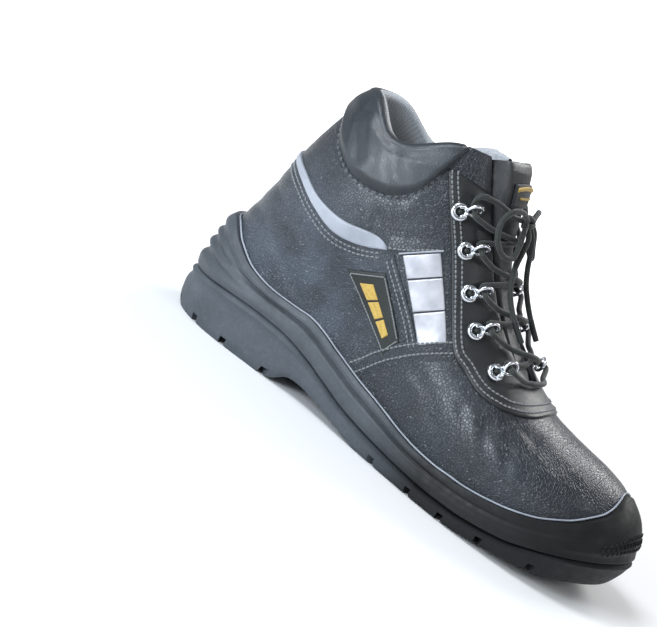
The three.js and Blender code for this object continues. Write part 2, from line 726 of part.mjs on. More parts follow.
// Bow loops and loose ends, which hang from the knot over the lacing. The points are chosen by
// hand: courses over the knot's, millimetres from the middle line, and layer.
const BOW_LOOP = [
  [0.04, 3, 4.6],
  [0.2, 10, 5.4],
  [0.15, 16, 5.8],
  [-0.15, 20.5, 6],
  [-0.6, 21.5, 6],
  [-0.95, 19, 6.2],
  [-0.95, 14, 6.4],
  [-0.65, 10, 6.4],
  [-0.3, 7.6, 6.0],
  [-0.04, 4, 4.8],
];
const LOOSE_END = [
  [-0.14, 1.8, 5.0],
  [-0.42, 2.8, 6.4],
  [-0.75, 6, 6.2],
  [-1.15, 9.5, 5.2],
  [-1.6, 12, 4.4],
  [-2.0, 13, 4.2],
  [-2.4, 13, 4.2],
  [-2.8, 12.5, 4.2],
  [-3.1, 12, 4.0],
];
function cordSolid(points, side, count) {
  const path = points.map(([t, y, layer]) => overFront(KNOT_COURSE + t, side * y, layer));
  return tube(path, LACE_RADIUS, 8, count).subtract(knotForm(GAP));
}

// Sole
const soleX = (share) => SOLE_LENGTH * share;
const treadZ = (x) =>
  ARCH_LIFT * Math.max(0, lookup(SOLE_LINES, "tread", x / SOLE_LENGTH)) +
  TOE_SPRING * Math.max(0, lookup(SOLE_LINES, "spring", x / SOLE_LENGTH));
const partingZ = (x) => PARTING_HEIGHT * lookup(SOLE_LINES, "parting", x / SOLE_LENGTH);
const rimZ = (x) => SOLE_RIM_HEIGHT * lookup(SOLE_LINES, "rim", x / SOLE_LENGTH);

const SOLE_TOE_ROUND = 2.8;
const SOLE_HEEL_ROUND = 2.4;
function soleHalf(x, side) {
  const share = x / SOLE_LENGTH;
  const wide = SOLE_BALL_HALF * lookup(SOLE_PLAN, side < 0 ? "outer" : "inner", share);
  const toe = clamp((share - TOE_FROM) / (1 - TOE_FROM), 0, 1) ** SOLE_TOE_ROUND;
  const heel = clamp(1 - x / (SOLE_HEEL_HALF * 1.25), 0, 1) ** SOLE_HEEL_ROUND;
  return wide * Math.sqrt(Math.max(0, 1 - toe)) * Math.sqrt(Math.max(0, 1 - heel));
}

// Outline of the sole seen from above, at angle a.
function soleEdge(a) {
  const x = soleX((1 + Math.cos(a)) / 2);
  const side = a <= Math.PI ? -1 : 1;
  const end = Math.abs(Math.sin(a)) < 1e-9;
  return new THREE.Vector3(x, swing(x) + (end ? 0 : side * soleHalf(x, side)), 0);
}

// The upper's outer face at the height of the sole's rim, at angle a.
function rimEdge(a) {
  const z = rimZ(soleEdge(a).x);
  const back = backX(solve(backZ, z, 0, TOP_COURSE));
  const front = z > WIDE_Z ? frontX(solve(frontZ, z, FEATHER_COURSE, TOP_COURSE)) : TIP_X;
  const x = mix(back, front, (1 + Math.cos(a)) / 2);
  const side = a <= Math.PI ? -1 : 1;
  const end = Math.abs(Math.sin(a)) < 1e-9;
  const half = end ? 0 : upperHalf(x, z, side, back, TIP_X);
  return new THREE.Vector3(x, swing(x) + side * half, z);
}

// Moves each point of a ring out, square to the ring as seen from above.
function swollen(points, out) {
  const n = points.length;
  return points.map((p, i) => {
    const run = points[(i + 1) % n].clone().sub(points[(i + n - 1) % n]);
    const away = new THREE.Vector3(-run.y, run.x, 0).normalize();
    return p.clone().addScaledVector(away, typeof out === "function" ? out(p) : out);
  });
}

const SOLE_AROUND = 56;
const soleRing = () => ring(SOLE_AROUND, soleEdge);
const rimRing = () => swollen(ring(SOLE_AROUND, rimEdge), RIM_THICKNESS);

// Height of the surface where midsole and outsole meet, under the foot.
const coreZ = (x) => Math.min(partingZ(x), footZ(x) - MIDSOLE_FLOOR);
function footZ(x) {
  const q = clamp((x - backX(0)) / (frontX(0) - backX(0)), 0.001, 0.999);
  return mix(backZ(0), frontZ(0), q) - COURSES.dip[0] * UPPER_HEIGHT * dipShape(q, 0.68, 5);
}

// The two rings of the surface between outsole and midsole: under the foot and at the side.
const partingRings = (base, up) => [
  swollen(base, -10).map((p) => new THREE.Vector3(p.x, p.y, coreZ(p.x) + up)),
  swollen(base, -PARTING_INSET).map((p) => new THREE.Vector3(p.x, p.y, partingZ(p.x) + up)),
];

// Swell of a wall at row k and length x. The groove in the side fades out towards the ball.
function wallSwell(table, k, x) {
  const share = x / SOLE_LENGTH;
  const side = table.side[k] * (table === MIDSOLE_WALL ? 1 - 0.85 * smooth(0.5, 0.72, share) : 1);
  const back = mix(table.heel[k], side, smooth(0.04, 0.16, share));
  return mix(back, table.toe[k], smooth(0.88, 0.985, share));
}

function midsoleSolid() {
  const base = soleRing();
  const rim = rimRing();
  const walls = MIDSOLE_WALL.rise.map((rise, k) => {
    const row = base.map((p, i) => {
      const lean = MIDSOLE_WALL.lean[k];
      return new THREE.Vector3(
        mix(p.x, rim[i].x, lean),
        mix(p.y, rim[i].y, lean),
        mix(partingZ(p.x), rim[i].z, rise),
      );
    });
    return swollen(row, (p) => wallSwell(MIDSOLE_WALL, k, p.x));
  });
  const form = loftSolid([...partingRings(base, GAP), ...walls], true);
  return form.subtract(upperCore([0, ...COURSE_STEPS.slice(1, 11)], () => GAP));
}

// Tread: grooves around a middle point, each a bar that runs out from it or an arc around it.
// Lengths are shares of SOLE_BALL_HALF and turns are in degrees, with 0 towards the toe.
const GROOVE = 3.4;
const TREAD_BARS = columns("x from to first last count width", [
  [BALL_TREAD_AT, 0.34, 0.62, 0, 320, 9, 1.0],
  [BALL_TREAD_AT, 0.72, 1.5, 40, 320, 13, 1.1],
  [HEEL_TREAD_AT, 0.3, 1.5, 45, 315, 9, 1.2],
]);
const TREAD_ARCS = columns("x radius squash first last width", [
  [BALL_TREAD_AT, 0.13, 0.7, 0, 360, 0.7],
  [BALL_TREAD_AT, 0.31, 0.78, 0, 360, 0.9],
  [BALL_TREAD_AT, 0.66, 0.86, 0, 360, 1.0],
  [BALL_TREAD_AT, 0.98, 0.8, -38, 38, 1.0],
  [BALL_TREAD_AT, 1.14, 0.76, -36, 36, 0.8],
  [BALL_TREAD_AT, 1.28, 0.72, -33, 33, 0.8],
  [HEEL_TREAD_AT, 0.27, 0.9, 0, 360, 1.0],
]);

// Upright prism over a plan outline.
function planPrism(points) {
  const shape = new THREE.Shape(points);
  const geometry = new THREE.ExtrudeGeometry(shape, { depth: 60, bevelEnabled: false });
  geometry.translate(0, 0, -10);
  return solidOf(geometry);
}

function treadGrooves() {
  const cuts = [];
  const middle = (share) => new THREE.Vector2(soleX(share), swing(soleX(share)));
  const polar = (centre, radius, degrees, squash = 1) => {
    const turn = (degrees * Math.PI) / 180;
    return new THREE.Vector2(radius * Math.cos(turn), radius * squash * Math.sin(turn)).add(centre);
  };
  TREAD_BARS.x.forEach((share, k) => {
    const { from, to, first, last, count, width } = TREAD_BARS;
    const half = new THREE.Vector2(0, (GROOVE * width[k]) / 2);
    for (const degrees of steps(first[k], last[k], count[k] - 1)) {
      const side = half.clone().rotateAround(new THREE.Vector2(), (degrees * Math.PI) / 180);
      const near = polar(middle(share), SOLE_BALL_HALF * from[k], degrees);
      const far = polar(middle(share), SOLE_BALL_HALF * to[k], degrees);
      cuts.push(planPrism([near.clone().sub(side), far.clone().sub(side), far.add(side), near.add(side)]));
    }
  });
  TREAD_ARCS.x.forEach((share, k) => {
    const { radius, squash, first, last, width } = TREAD_ARCS;
    const whole = last[k] - first[k] === 360;
    const turns = steps(first[k], last[k], whole ? 18 : 6);
    const line = (grow) =>
      turns.map((d) => polar(middle(share), SOLE_BALL_HALF * radius[k] + grow, d, squash[k]));
    const wide = (GROOVE * width[k]) / 2;
    if (whole) cuts.push(planPrism(line(wide).slice(1)).subtract(planPrism(line(-wide).slice(1))));
    else cuts.push(planPrism([...line(wide), ...line(-wide).reverse()]));
  });
  const line = steps(-10, SOLE_LENGTH + 10, 14);
  const floor = line.map((x) => [x, treadZ(clamp(x, 0, SOLE_LENGTH)) + TREAD_DEPTH]);
  const slab = sidePrism([[-10, -5], ...floor, [SOLE_LENGTH + 10, -5]], BOTH_SIDES);
  return cuts.reduce((all, cut) => all.add(cut)).intersect(slab);
}

function outsoleSolid() {
  const base = soleRing();
  const walls = OUTSOLE_WALL.rise.map((rise, k) => {
    const row = base.map((p) => new THREE.Vector3(p.x, p.y, mix(treadZ(p.x), partingZ(p.x), rise)));
    return swollen(row, (p) => wallSwell(OUTSOLE_WALL, k, p.x));
  });
  const form = loftSolid([...partingRings(base, 0), ...walls.reverse()], true, true);
  return form.subtract(treadGrooves());
}

function insoleSolid() {
  const inside = upperCore(INSIDE_STEPS.slice(0, 4), () => -(WALL + GAP), AROUND_INSIDE);
  const line = (up) => steps(0, UPPER_BACK + UPPER_LENGTH, 24).map((x) => [x, footZ(x) + up]);
  return inside.intersect(sidePrism([...line(GAP), ...line(GAP + INSOLE_THICK).reverse()], BOTH_SIDES));
}

// Finishes
const finish = (color, roughness, metalness = 0) => ({ color, roughness, metalness });
const LEATHER = finish(0x24272b, 0.45);
const FACING = finish(0x1f2226, 0.5);
const OUTSOLE = finish(0x2c3034, 0.75);
const MIDSOLE = finish(0x34383d, 0.65);
const LINING = finish(0x8b9096, 0.9);
const TONGUE_CLOTH = finish(0x202327, 0.8);
const GREY_TRIM = finish(0x8f949a, 0.7);
const REFLECTIVE = finish(0xc9ccd3, 0.35);
const STEEL = finish(0xc4c7cb, 0.25, 1);
const LACE = finish(0x1b1e1f, 0.85);

// The boot, with its origin on the floor under the middle of the heel's tread
const boot = new THREE.Group();
boot.position.x = -soleX(HEEL_TREAD_AT);
function add(name, solid, look) {
  const mesh = new THREE.Mesh(geometryOf(solid), new THREE.MeshStandardMaterial(look));
  mesh.name = name;
  boot.add(mesh);
}

add("outsole", outsoleSolid(), OUTSOLE);
add("midsole", midsoleSolid(), MIDSOLE);
add("insole", insoleSolid(), LINING);
add("upper", upperSolid(), LEATHER);
add("tongue", tongueSolid(), TONGUE_CLOTH);
add("tongue_label", labelSolid(), FACING);
add("eyestay", eyestaySolid(), FACING);
add("ankle_strip", overlay(STRIP_OUTLINE, TRIM_THICK, BOTH_SIDES), GREY_TRIM);
add("side_badge", patchSolid(BADGE_OUTLINE, -1), FACING);
const SIDES = [["outer", -1], ["inner", 1]];
for (const [name, side] of SIDES) {
  add(`reflective_patch_${name}`, patchSolid(PATCH_OUTLINE, side), REFLECTIVE);
  RINGS.x.forEach((_, k) => add(`lace_ring_${name}_${k + 1}`, ringSolid(k, side), STEEL));
}
add("lace_crossings", lacingSolid(), LACE);
add("lace_knot", knotForm(0), LACE);
for (const [name, side] of SIDES) {
  add(`lace_loop_${name}`, cordSolid(BOW_LOOP, side, 16), LACE);
  add(`lace_end_${name}`, cordSolid(LOOSE_END, side, 14), LACE);
}

export default boot;
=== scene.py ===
import math
import bmesh
import bpy
import numpy as np
from mathutils import Matrix, Vector


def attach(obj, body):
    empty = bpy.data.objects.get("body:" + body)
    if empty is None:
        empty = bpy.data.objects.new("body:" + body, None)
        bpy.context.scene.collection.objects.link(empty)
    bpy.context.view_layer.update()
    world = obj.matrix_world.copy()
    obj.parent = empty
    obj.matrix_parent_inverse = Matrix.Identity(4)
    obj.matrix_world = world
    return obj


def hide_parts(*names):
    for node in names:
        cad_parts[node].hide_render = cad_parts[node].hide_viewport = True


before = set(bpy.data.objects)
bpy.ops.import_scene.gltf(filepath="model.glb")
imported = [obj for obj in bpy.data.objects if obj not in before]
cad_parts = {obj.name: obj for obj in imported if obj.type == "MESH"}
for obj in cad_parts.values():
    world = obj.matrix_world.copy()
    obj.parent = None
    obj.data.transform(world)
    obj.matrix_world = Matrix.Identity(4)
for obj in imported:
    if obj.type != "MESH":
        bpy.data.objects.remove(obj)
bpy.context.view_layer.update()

# Sizes of the last, the sole and the trims
UPPER_LENGTH, UPPER_HEIGHT, HEEL_SEAT, UPPER_BACK, TOE_SWING = 281, 133, 30, 7, 7
BALL_HALF, HEEL_HALF, SHAFT_HALF = 51, 35, 43
SOLE_FRONT, SOLE_MARGIN = 15, 6
SOLE_LENGTH = UPPER_BACK + UPPER_LENGTH + SOLE_FRONT
SOLE_BALL_HALF = BALL_HALF + SOLE_MARGIN
SOLE_HEEL_HALF = HEEL_HALF + SOLE_MARGIN
SOLE_RIM_HEIGHT, RIM_THICKNESS, PARTING_HEIGHT, PARTING_INSET = 43, 4, 28, 1.4
MIDSOLE_FLOOR, TREAD_DEPTH, TOE_SPRING, ARCH_LIFT = 5, 4.5, 11, 8
HEEL_TREAD_AT, BALL_TREAD_AT = 0.14, 0.69
WALL, COLLAR_PAD, GAP, OVERLAY_THICK, TRIM_THICK = 2.4, 5.5, 0.3, 1.5, 1.1
THROAT_HALF_LOW, THROAT_HALF_HIGH = 11, 21
RING_HALF, RING_WIRE_RADIUS, LACE_RADIUS = 3.85, 0.95, 1.6
ORIGIN_X = SOLE_LENGTH * HEEL_TREAD_AT
MM = 0.001


def columns(names, rows):
    """Rows of numbers as named columns."""
    return dict(zip(names.split(), np.array(rows, float).T))


COURSES = columns("backX backZ frontX frontZ dip", [
    [0.018, 0.0, 0.982, -0.068, 0.061],
    [0.0, 0.09, 1.0, 0.045, 0.06],
    [-0.003, 0.165, 0.998, 0.125, 0.038],
    [0.0, 0.21, 0.988, 0.19, 0.022],
    [0.006, 0.248, 0.962, 0.236, 0.008],
    [0.011, 0.286, 0.91, 0.262, 0.0],
    [0.016, 0.323, 0.842, 0.278, 0.0],
    [0.021, 0.368, 0.778, 0.3, 0.0],
    [0.027, 0.421, 0.722, 0.343, 0.0],
    [0.032, 0.489, 0.665, 0.413, 0.0],
    [0.039, 0.571, 0.601, 0.511, 0.0],
    [0.049, 0.669, 0.544, 0.639, 0.015],
    [0.063, 0.774, 0.495, 0.782, 0.038],
    [0.08, 0.887, 0.452, 0.932, 0.075],
    [0.094, 1.0, 0.416, 1.075, 0.127],
])
TOP_COURSE, FEATHER_COURSE, THROAT_COURSE = 14, 1, 8.35
UPPER_PLAN = columns("at outer inner", [
    [0.0, 0.686, 0.686],
    [0.13, 0.69, 0.68],
    [0.25, 0.67, 0.65],
    [0.35, 0.69, 0.64],
    [0.47, 0.79, 0.71],
    [0.6, 0.92, 0.85],
    [0.71, 1.0, 0.94],
    [0.82, 1.02, 0.98],
    [1.0, 1.0, 0.96],
])
SOLE_PLAN = columns("at outer inner", [
    [0.0, 0.71, 0.71],
    [0.15, 0.71, 0.7],
    [0.25, 0.69, 0.67],
    [0.34, 0.67, 0.63],
    [0.46, 0.75, 0.68],
    [0.57, 0.88, 0.82],
    [0.68, 0.98, 0.93],
    [0.77, 1.0, 0.96],
    [1.0, 0.99, 0.94],
])
SOLE_LINES = columns("at tread spring parting rim", [
    [0.0, 0.35, 0.0, 0.79, 1.4],
    [0.03, 0.05, 0.0, 0.84, 1.38],
    [0.07, 0.0, 0.0, 0.89, 1.24],
    [0.12, 0.0, 0.0, 0.96, 1.08],
    [0.18, 0.0, 0.0, 1.0, 1.0],
    [0.25, 0.0, 0.0, 0.98, 1.0],
    [0.28, 0.2, 0.0, 0.93, 1.01],
    [0.31, 1.0, 0.0, 0.85, 0.98],
    [0.36, 0.95, 0.0, 0.7, 0.88],
    [0.43, 0.45, 0.0, 0.5, 0.76],
    [0.49, 0.0, 0.0, 0.4, 0.68],
    [0.58, 0.0, 0.0, 0.33, 0.56],
    [0.65, 0.0, 0.0, 0.3, 0.52],
    [0.69, 0.0, 0.0, 0.31, 0.53],
    [0.74, 0.0, 0.1, 0.34, 0.55],
    [0.82, 0.0, 0.4, 0.47, 0.64],
    [0.88, 0.0, 0.6, 0.67, 0.76],
    [0.93, 0.0, 0.76, 0.85, 0.94],
    [0.97, 0.0, 0.9, 1.0, 1.16],
    [1.0, 0.0, 1.0, 1.1, 1.42],
])
MIDSOLE_WALL = columns("rise lean heel side toe", [
    [0.07, 0.02, 0.3, 0.3, 0.3],
    [0.22, 0.16, 1.8, 0.9, 1.6],
    [0.34, 0.24, -0.6, 0.9, 2.8],
    [0.46, 0.38, 2.2, 0.7, 3.6],
    [0.56, 0.48, 0.0, 0.4, 4.2],
    [0.66, 0.6, 2.0, -1.7, 4.4],
    [0.74, 0.7, 0.2, 0.2, 4.4],
    [0.87, 0.86, 2.0, 0.5, 3.4],
    [1.0, 1.0, -0.4, -0.6, 0.4],
])
OUTSOLE_WALL = columns("rise heel side toe", [
    [0.0, -2.4, -2.4, -9.0],
    [0.18, -0.6, -0.6, -5.0],
    [0.55, 0.6, 0.0, -1.5],
    [0.78, -0.4, 0.2, -0.2],
    [0.9, 0.8, 1.1, 0.6],
])
PAD_LINE = columns("at z", [
    [-0.05, 0.9],
    [0.08, 0.86],
    [0.13, 0.75],
    [0.2, 0.69],
    [0.28, 0.71],
    [0.33, 0.8],
    [0.355, 1.0],
    [0.38, 1.3],
])
TONGUE = columns("course lift thick half", [
    [7.5, -2.9, 2.4, 15],
    [8.3, -2.9, 3.2, 19],
    [9.2, -0.6, 4.6, 23],
    [10.2, 1.0, 5.0, 26],
    [11.2, 1.6, 5.0, 29],
    [11.9, 3.0, 5.5, 31],
    [12.6, 6.0, 6.5, 32],
    [13.2, 9.0, 7.5, 32],
    [13.7, 10.6, 8.0, 31],
    [13.95, 9.8, 6.4, 30],
    [14.05, 8.6, 3.0, 28],
])
RINGS = columns("x z", [
    [0.412, 0.823],
    [0.462, 0.703],
    [0.514, 0.567],
    [0.567, 0.455],
    [0.644, 0.36],
])


# Smooth numbers
def mix(a, b, s):
    return a + (b - a) * s


def smooth(low, high, v):
    s = np.clip((np.asarray(v, float) - low) / (high - low), 0, 1)
    return s * s * (3 - 2 * s)


def along(column, t):
    """Column between its rows as a Catmull-Rom curve, straight past its ends."""
    t = np.asarray(t, float)
    last = len(column) - 1
    i = np.clip(np.floor(t).astype(int), 0, last - 1)
    s = t - i
    a, b, c, d = (column[np.clip(i + k, 0, last)] for k in (-1, 0, 1, 2))
    curve = b + 0.5 * s * (c - a + s * (2 * a - 5 * b + 4 * c - d + s * (3 * (b - c) + d - a)))
    before = column[0] + (column[1] - column[0]) * t
    after = column[last] + (column[last] - column[last - 1]) * (t - last)
    return np.where(t <= 0, before, np.where(t >= last, after, curve))


def lookup(table, name, x):
    at = table["at"]
    i = np.clip(np.searchsorted(at, x) - 1, 0, len(at) - 2)
    return along(table[name], i + np.clip((x - at[i]) / (at[i + 1] - at[i]), 0, 1))


def solve(f, low, high, rounds=26):
    """Where a rising function of an array passes zero, by bisection."""
    low, high = np.array(low, float), np.array(high, float)
    for _ in range(rounds):
        middle = (low + high) / 2
        under = f(middle) < 0
        low, high = np.where(under, middle, low), np.where(under, high, middle)
    return (low + high) / 2


def unit(v):
    return v / np.maximum(np.linalg.norm(v, axis=-1, keepdims=True), 1e-9)


# The last
def upper_x(share):
    return UPPER_BACK + UPPER_LENGTH * share


def upper_z(share):
    return HEEL_SEAT + UPPER_HEIGHT * share


def course(name, t):
    place = upper_x if name.endswith("X") else upper_z
    return place(along(COURSES[name], t))


def swing(x):
    return TOE_SWING * smooth(0.35, 1, x / UPPER_LENGTH)


TIP_X = float(course("frontX", FEATHER_COURSE))
WIDE_Z = float(course("frontZ", FEATHER_COURSE))
RIDGE_T = np.linspace(FEATHER_COURSE, TOP_COURSE + 6, 4000)
RIDGE_X, RIDGE_Z = course("frontX", RIDGE_T), course("frontZ", RIDGE_T)
TOE_ROUND, TOE_FROM, HEEL_ROUND, DOME = 2.6, 0.74, 2.3, 2.5


def ridge_z(x):
    return np.where(x >= TIP_X, WIDE_Z, np.interp(-x, -RIDGE_X, RIDGE_Z))


def upper_half(x, z, side, back, tip):
    share = (x - UPPER_BACK) / UPPER_LENGTH
    plan = np.where(side < 0, lookup(UPPER_PLAN, "outer", share), lookup(UPPER_PLAN, "inner", share))
    up = smooth(0.12, 0.6, (z - HEEL_SEAT) / UPPER_HEIGHT)
    under = 1 - 0.05 * smooth(0, 1, (WIDE_Z - z) / WIDE_Z)
    wide = mix(BALL_HALF * plan * under, SHAFT_HALF, up)
    start = UPPER_BACK + UPPER_LENGTH * TOE_FROM
    toe = np.sqrt(np.maximum(0, 1 - np.clip((x - start) / (tip - start), 0, 1) ** TOE_ROUND))
    reach = mix(HEEL_HALF * 1.45, SHAFT_HALF * 1.5, up)
    heel = np.sqrt(np.maximum(0, 1 - np.clip(1 - (x - back) / reach, 0, 1) ** HEEL_ROUND))
    v = np.clip((z - WIDE_Z) / np.maximum(1e-6, ridge_z(x) - WIDE_Z), 0, 1)
    return wide * toe * heel * np.sqrt(1 - v**DOME)


def dip_shape(q, at, sharp):
    return (q / at) ** (sharp * at) * ((1 - q) / (1 - at)) ** (sharp * (1 - at))


def upper_point(t, a):
    """Points of the upper's outer face at courses t and angles a, a quarter turn on the outer side."""
    t, a = np.broadcast_arrays(np.asarray(t, float), np.asarray(a, float))
    q = np.clip((1 + np.cos(a)) / 2, 0, 1)
    high = smooth(FEATHER_COURSE, TOP_COURSE - 3, t)
    dip = along(COURSES["dip"], np.minimum(t, TOP_COURSE)) * UPPER_HEIGHT
    x = mix(course("backX", t), course("frontX", t), q)
    z = mix(course("backZ", t), course("frontZ", t), q)
    z = z - dip * dip_shape(q, mix(0.68, 0.45, high), mix(5, 7, high))
    turn = np.mod(a, 2 * math.pi)
    side = np.where(turn <= math.pi, -1.0, 1.0)
    tip = np.where(t < FEATHER_COURSE, course("frontX", t), TIP_X)
    half = np.where(np.minimum(q, 1 - q) < 1e-9, 0, upper_half(x, z, side, course("backX", t), tip))
    return np.stack([x, swing(x) + side * half, z], -1)


def upper_normal(t, a):
    step = 0.02
    turn = upper_point(t, a + step) - upper_point(t, a - step)
    rise = upper_point(t + step, a) - upper_point(t - step, a)
    return -unit(np.cross(turn, rise))


def upper_out(t, a, out):
    t, a = np.broadcast_arrays(np.asarray(t, float), np.asarray(a, float))
    return upper_point(t, a) + upper_normal(t, a) * np.broadcast_to(out, t.shape)[..., None]


def course_at(x, z, side):
    """Courses and angles of the points at x and z in the side view."""
    x, z = np.broadcast_arrays(np.asarray(x, float), np.asarray(z, float))

    def angle(t):
        back, front = course("backX", t), course("frontX", t)
        return np.arccos(2 * np.clip((x - back) / (front - back), 0, 1) - 1)

    t = solve(lambda c: upper_point(c, angle(c))[..., 2] - z, np.zeros(x.shape), np.full(x.shape, 15.0))
    return t, (angle(t) if side < 0 else 2 * math.pi - angle(t))


def angle_across(t, y):
    """Angles on courses t at distances y from the middle line of the front, outer side negative."""
    t, y = np.broadcast_arrays(np.asarray(t, float), np.asarray(y, float))
    way = np.where(y <= 0, 1.0, -1.0)

    def gap(a):
        p = upper_point(t, np.mod(way * a, 2 * math.pi))
        return np.abs(p[..., 1] - swing(p[..., 0])) - np.abs(y)

    a = solve(gap, np.zeros(t.shape), np.full(t.shape, math.pi / 2))
    return np.mod(way * np.where(np.abs(y) < 1e-6, 0, a), 2 * math.pi)


def pad_share(t, a):
    from_front = np.abs(math.pi - np.abs(math.pi - np.mod(a, 2 * math.pi)))
    return smooth(11.6, 13.2, t) * smooth(0.55, 1.1, from_front)


def over_pad_line(t, a):
    """Height over the seam under the padded collar."""
    p = upper_point(t, a)
    return p[..., 2] - upper_z(lookup(PAD_LINE, "z", (p[..., 0] - UPPER_BACK) / UPPER_LENGTH))


def collar_swell(t, a):
    """How far the padded collar stands out: quickly over its seam, then full, then round to the rim."""
    over = over_pad_line(t, a)
    full = 3.4 * smooth(0, 7, over) * (1 - 0.75 * smooth(13.3, TOP_COURSE, t))
    return full - 0.9 * np.exp(-((over / 1.6) ** 2)) * smooth(11.2, 11.8, t)


# Throat opening
def ridge_point(t):
    x = course("frontX", t)
    return np.stack([x, swing(x), course("frontZ", t)], -1)


THROAT_LOW, THROAT_HIGH = ridge_point(THROAT_COURSE), ridge_point(TOP_COURSE + 2)
THROAT_UP = unit(THROAT_HIGH - THROAT_LOW)
THROAT_LENGTH = float(np.linalg.norm(THROAT_HIGH - THROAT_LOW))


def slot_half(t):
    u = (ridge_point(t) - THROAT_LOW) @ THROAT_UP
    straight = mix(THROAT_HALF_LOW, THROAT_HALF_HIGH, u / THROAT_LENGTH)
    low = THROAT_HALF_LOW
    bowl = np.sqrt(np.maximum(0, low**2 - (low - np.maximum(u, 0)) ** 2))
    return np.where(u >= low, straight, bowl)


# Meshes
def to_metres(points):
    return (np.asarray(points, float) - [ORIGIN_X, 0, 0]) * MM


def make_mesh(name, points, faces, look, node=None, slots=(), face_slots=None):
    """A smooth piece that rides the boot and may stand for a CAD node, from points in millimetres."""
    mesh = bpy.data.meshes.new(name)
    mesh.from_pydata(to_metres(points).tolist(), [], [list(map(int, f)) for f in faces])
    for one in [look, *slots]:
        mesh.materials.append(one)
    if face_slots is not None:
        mesh.polygons.foreach_set("material_index", np.asarray(face_slots, np.int32))
    mesh.polygons.foreach_set("use_smooth", np.full(len(mesh.polygons), True))
    mesh.validate()
    piece = bpy.data.objects.new(name, mesh)
    bpy.context.scene.collection.objects.link(piece)
    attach(piece, "root")
    if node:
        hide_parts(node)
    return piece


def grid_faces(rows, cols, start=0, close_rows=False, close_cols=False, flip=False):
    r = np.arange(rows if close_rows else rows - 1)[:, None]
    c = np.arange(cols if close_cols else cols - 1)[None]
    r2, c2 = (r + 1) % rows, (c + 1) % cols
    corners = [r * cols + c, r * cols + c2, r2 * cols + c2, r2 * cols + c]
    quads = np.stack([np.broadcast_to(k, (r.size, c.size)).ravel() for k in corners], -1) + start
    return quads[:, ::-1] if flip else quads


WELD_FINE = 0.000001  # metres, for points that only rounding keeps apart


def merge(piece, distance=0.00002):
    """Joins points that lie on each other, so that a seam between two edges shades smoothly."""
    work = bmesh.new()
    work.from_mesh(piece.data)
    bmesh.ops.remove_doubles(work, verts=work.verts, dist=distance)
    bmesh.ops.recalc_face_normals(work, faces=work.faces)
    work.to_mesh(piece.data)
    work.free()


def resample(points, spacing):
    """Points at even distances along a smooth curve through the given ones."""
    points = np.asarray(points, float)
    t = np.linspace(0, len(points) - 1, 40 * len(points))
    curve = np.stack([along(points[:, k], t) for k in range(points.shape[1])], -1)
    run = np.concatenate([[0], np.cumsum(np.linalg.norm(np.diff(curve, axis=0), axis=1))])
    count = max(2, int(round(run[-1] / spacing)) + 1)
    at = np.linspace(0, run[-1], count)
    return np.stack([np.interp(at, run, curve[:, k]) for k in range(points.shape[1])], -1)


def tube(points, radius, sides=10, closed=False):
    """Vertices and faces of a round tube along points. radius may be one for each point."""
    points = np.asarray(points, float)
    n = len(points)
    radius = np.broadcast_to(np.asarray(radius, float), (n,))
    if closed:
        ways = unit(np.roll(points, -1, 0) - np.roll(points, 1, 0))
    else:
        ways = unit(np.gradient(points, axis=0))
    u = np.cross(ways[0], [0.3, 0.2, 1.0])
    rings = []
    for p, way, r in zip(points, ways, radius):
        u = unit(u - way * (u @ way))
        v = np.cross(way, u)
        turn = np.linspace(0, 2 * math.pi, sides, endpoint=False)[:, None]
        rings.append(p + r * (np.cos(turn) * u + np.sin(turn) * v))
    points = np.concatenate(rings)
    faces = grid_faces(n, sides, close_rows=closed, close_cols=True).tolist()
    if not closed:
        faces += [list(range(sides))[::-1], list(range((n - 1) * sides, n * sides))]
    return points, faces


def join(parts):
    """Several (vertices, faces) as one."""
    points, faces, start = [], [], 0
    for p, f in parts:
        points.append(np.asarray(p, float))
        faces += [[k + start for k in face] for face in f]
        start += len(p)
    return np.concatenate(points), faces


# Materials
def material(name, colour, roughness, **sockets):
    m = bpy.data.materials.new(name)
    m.use_nodes = True
    shader = m.node_tree.nodes["Principled BSDF"]
    shader.inputs["Base Color"].default_value = (*colour, 1)
    shader.inputs["Roughness"].default_value = roughness
    for socket, value in sockets.items():
        shader.inputs[socket.replace("_", " ")].default_value = value
    return m


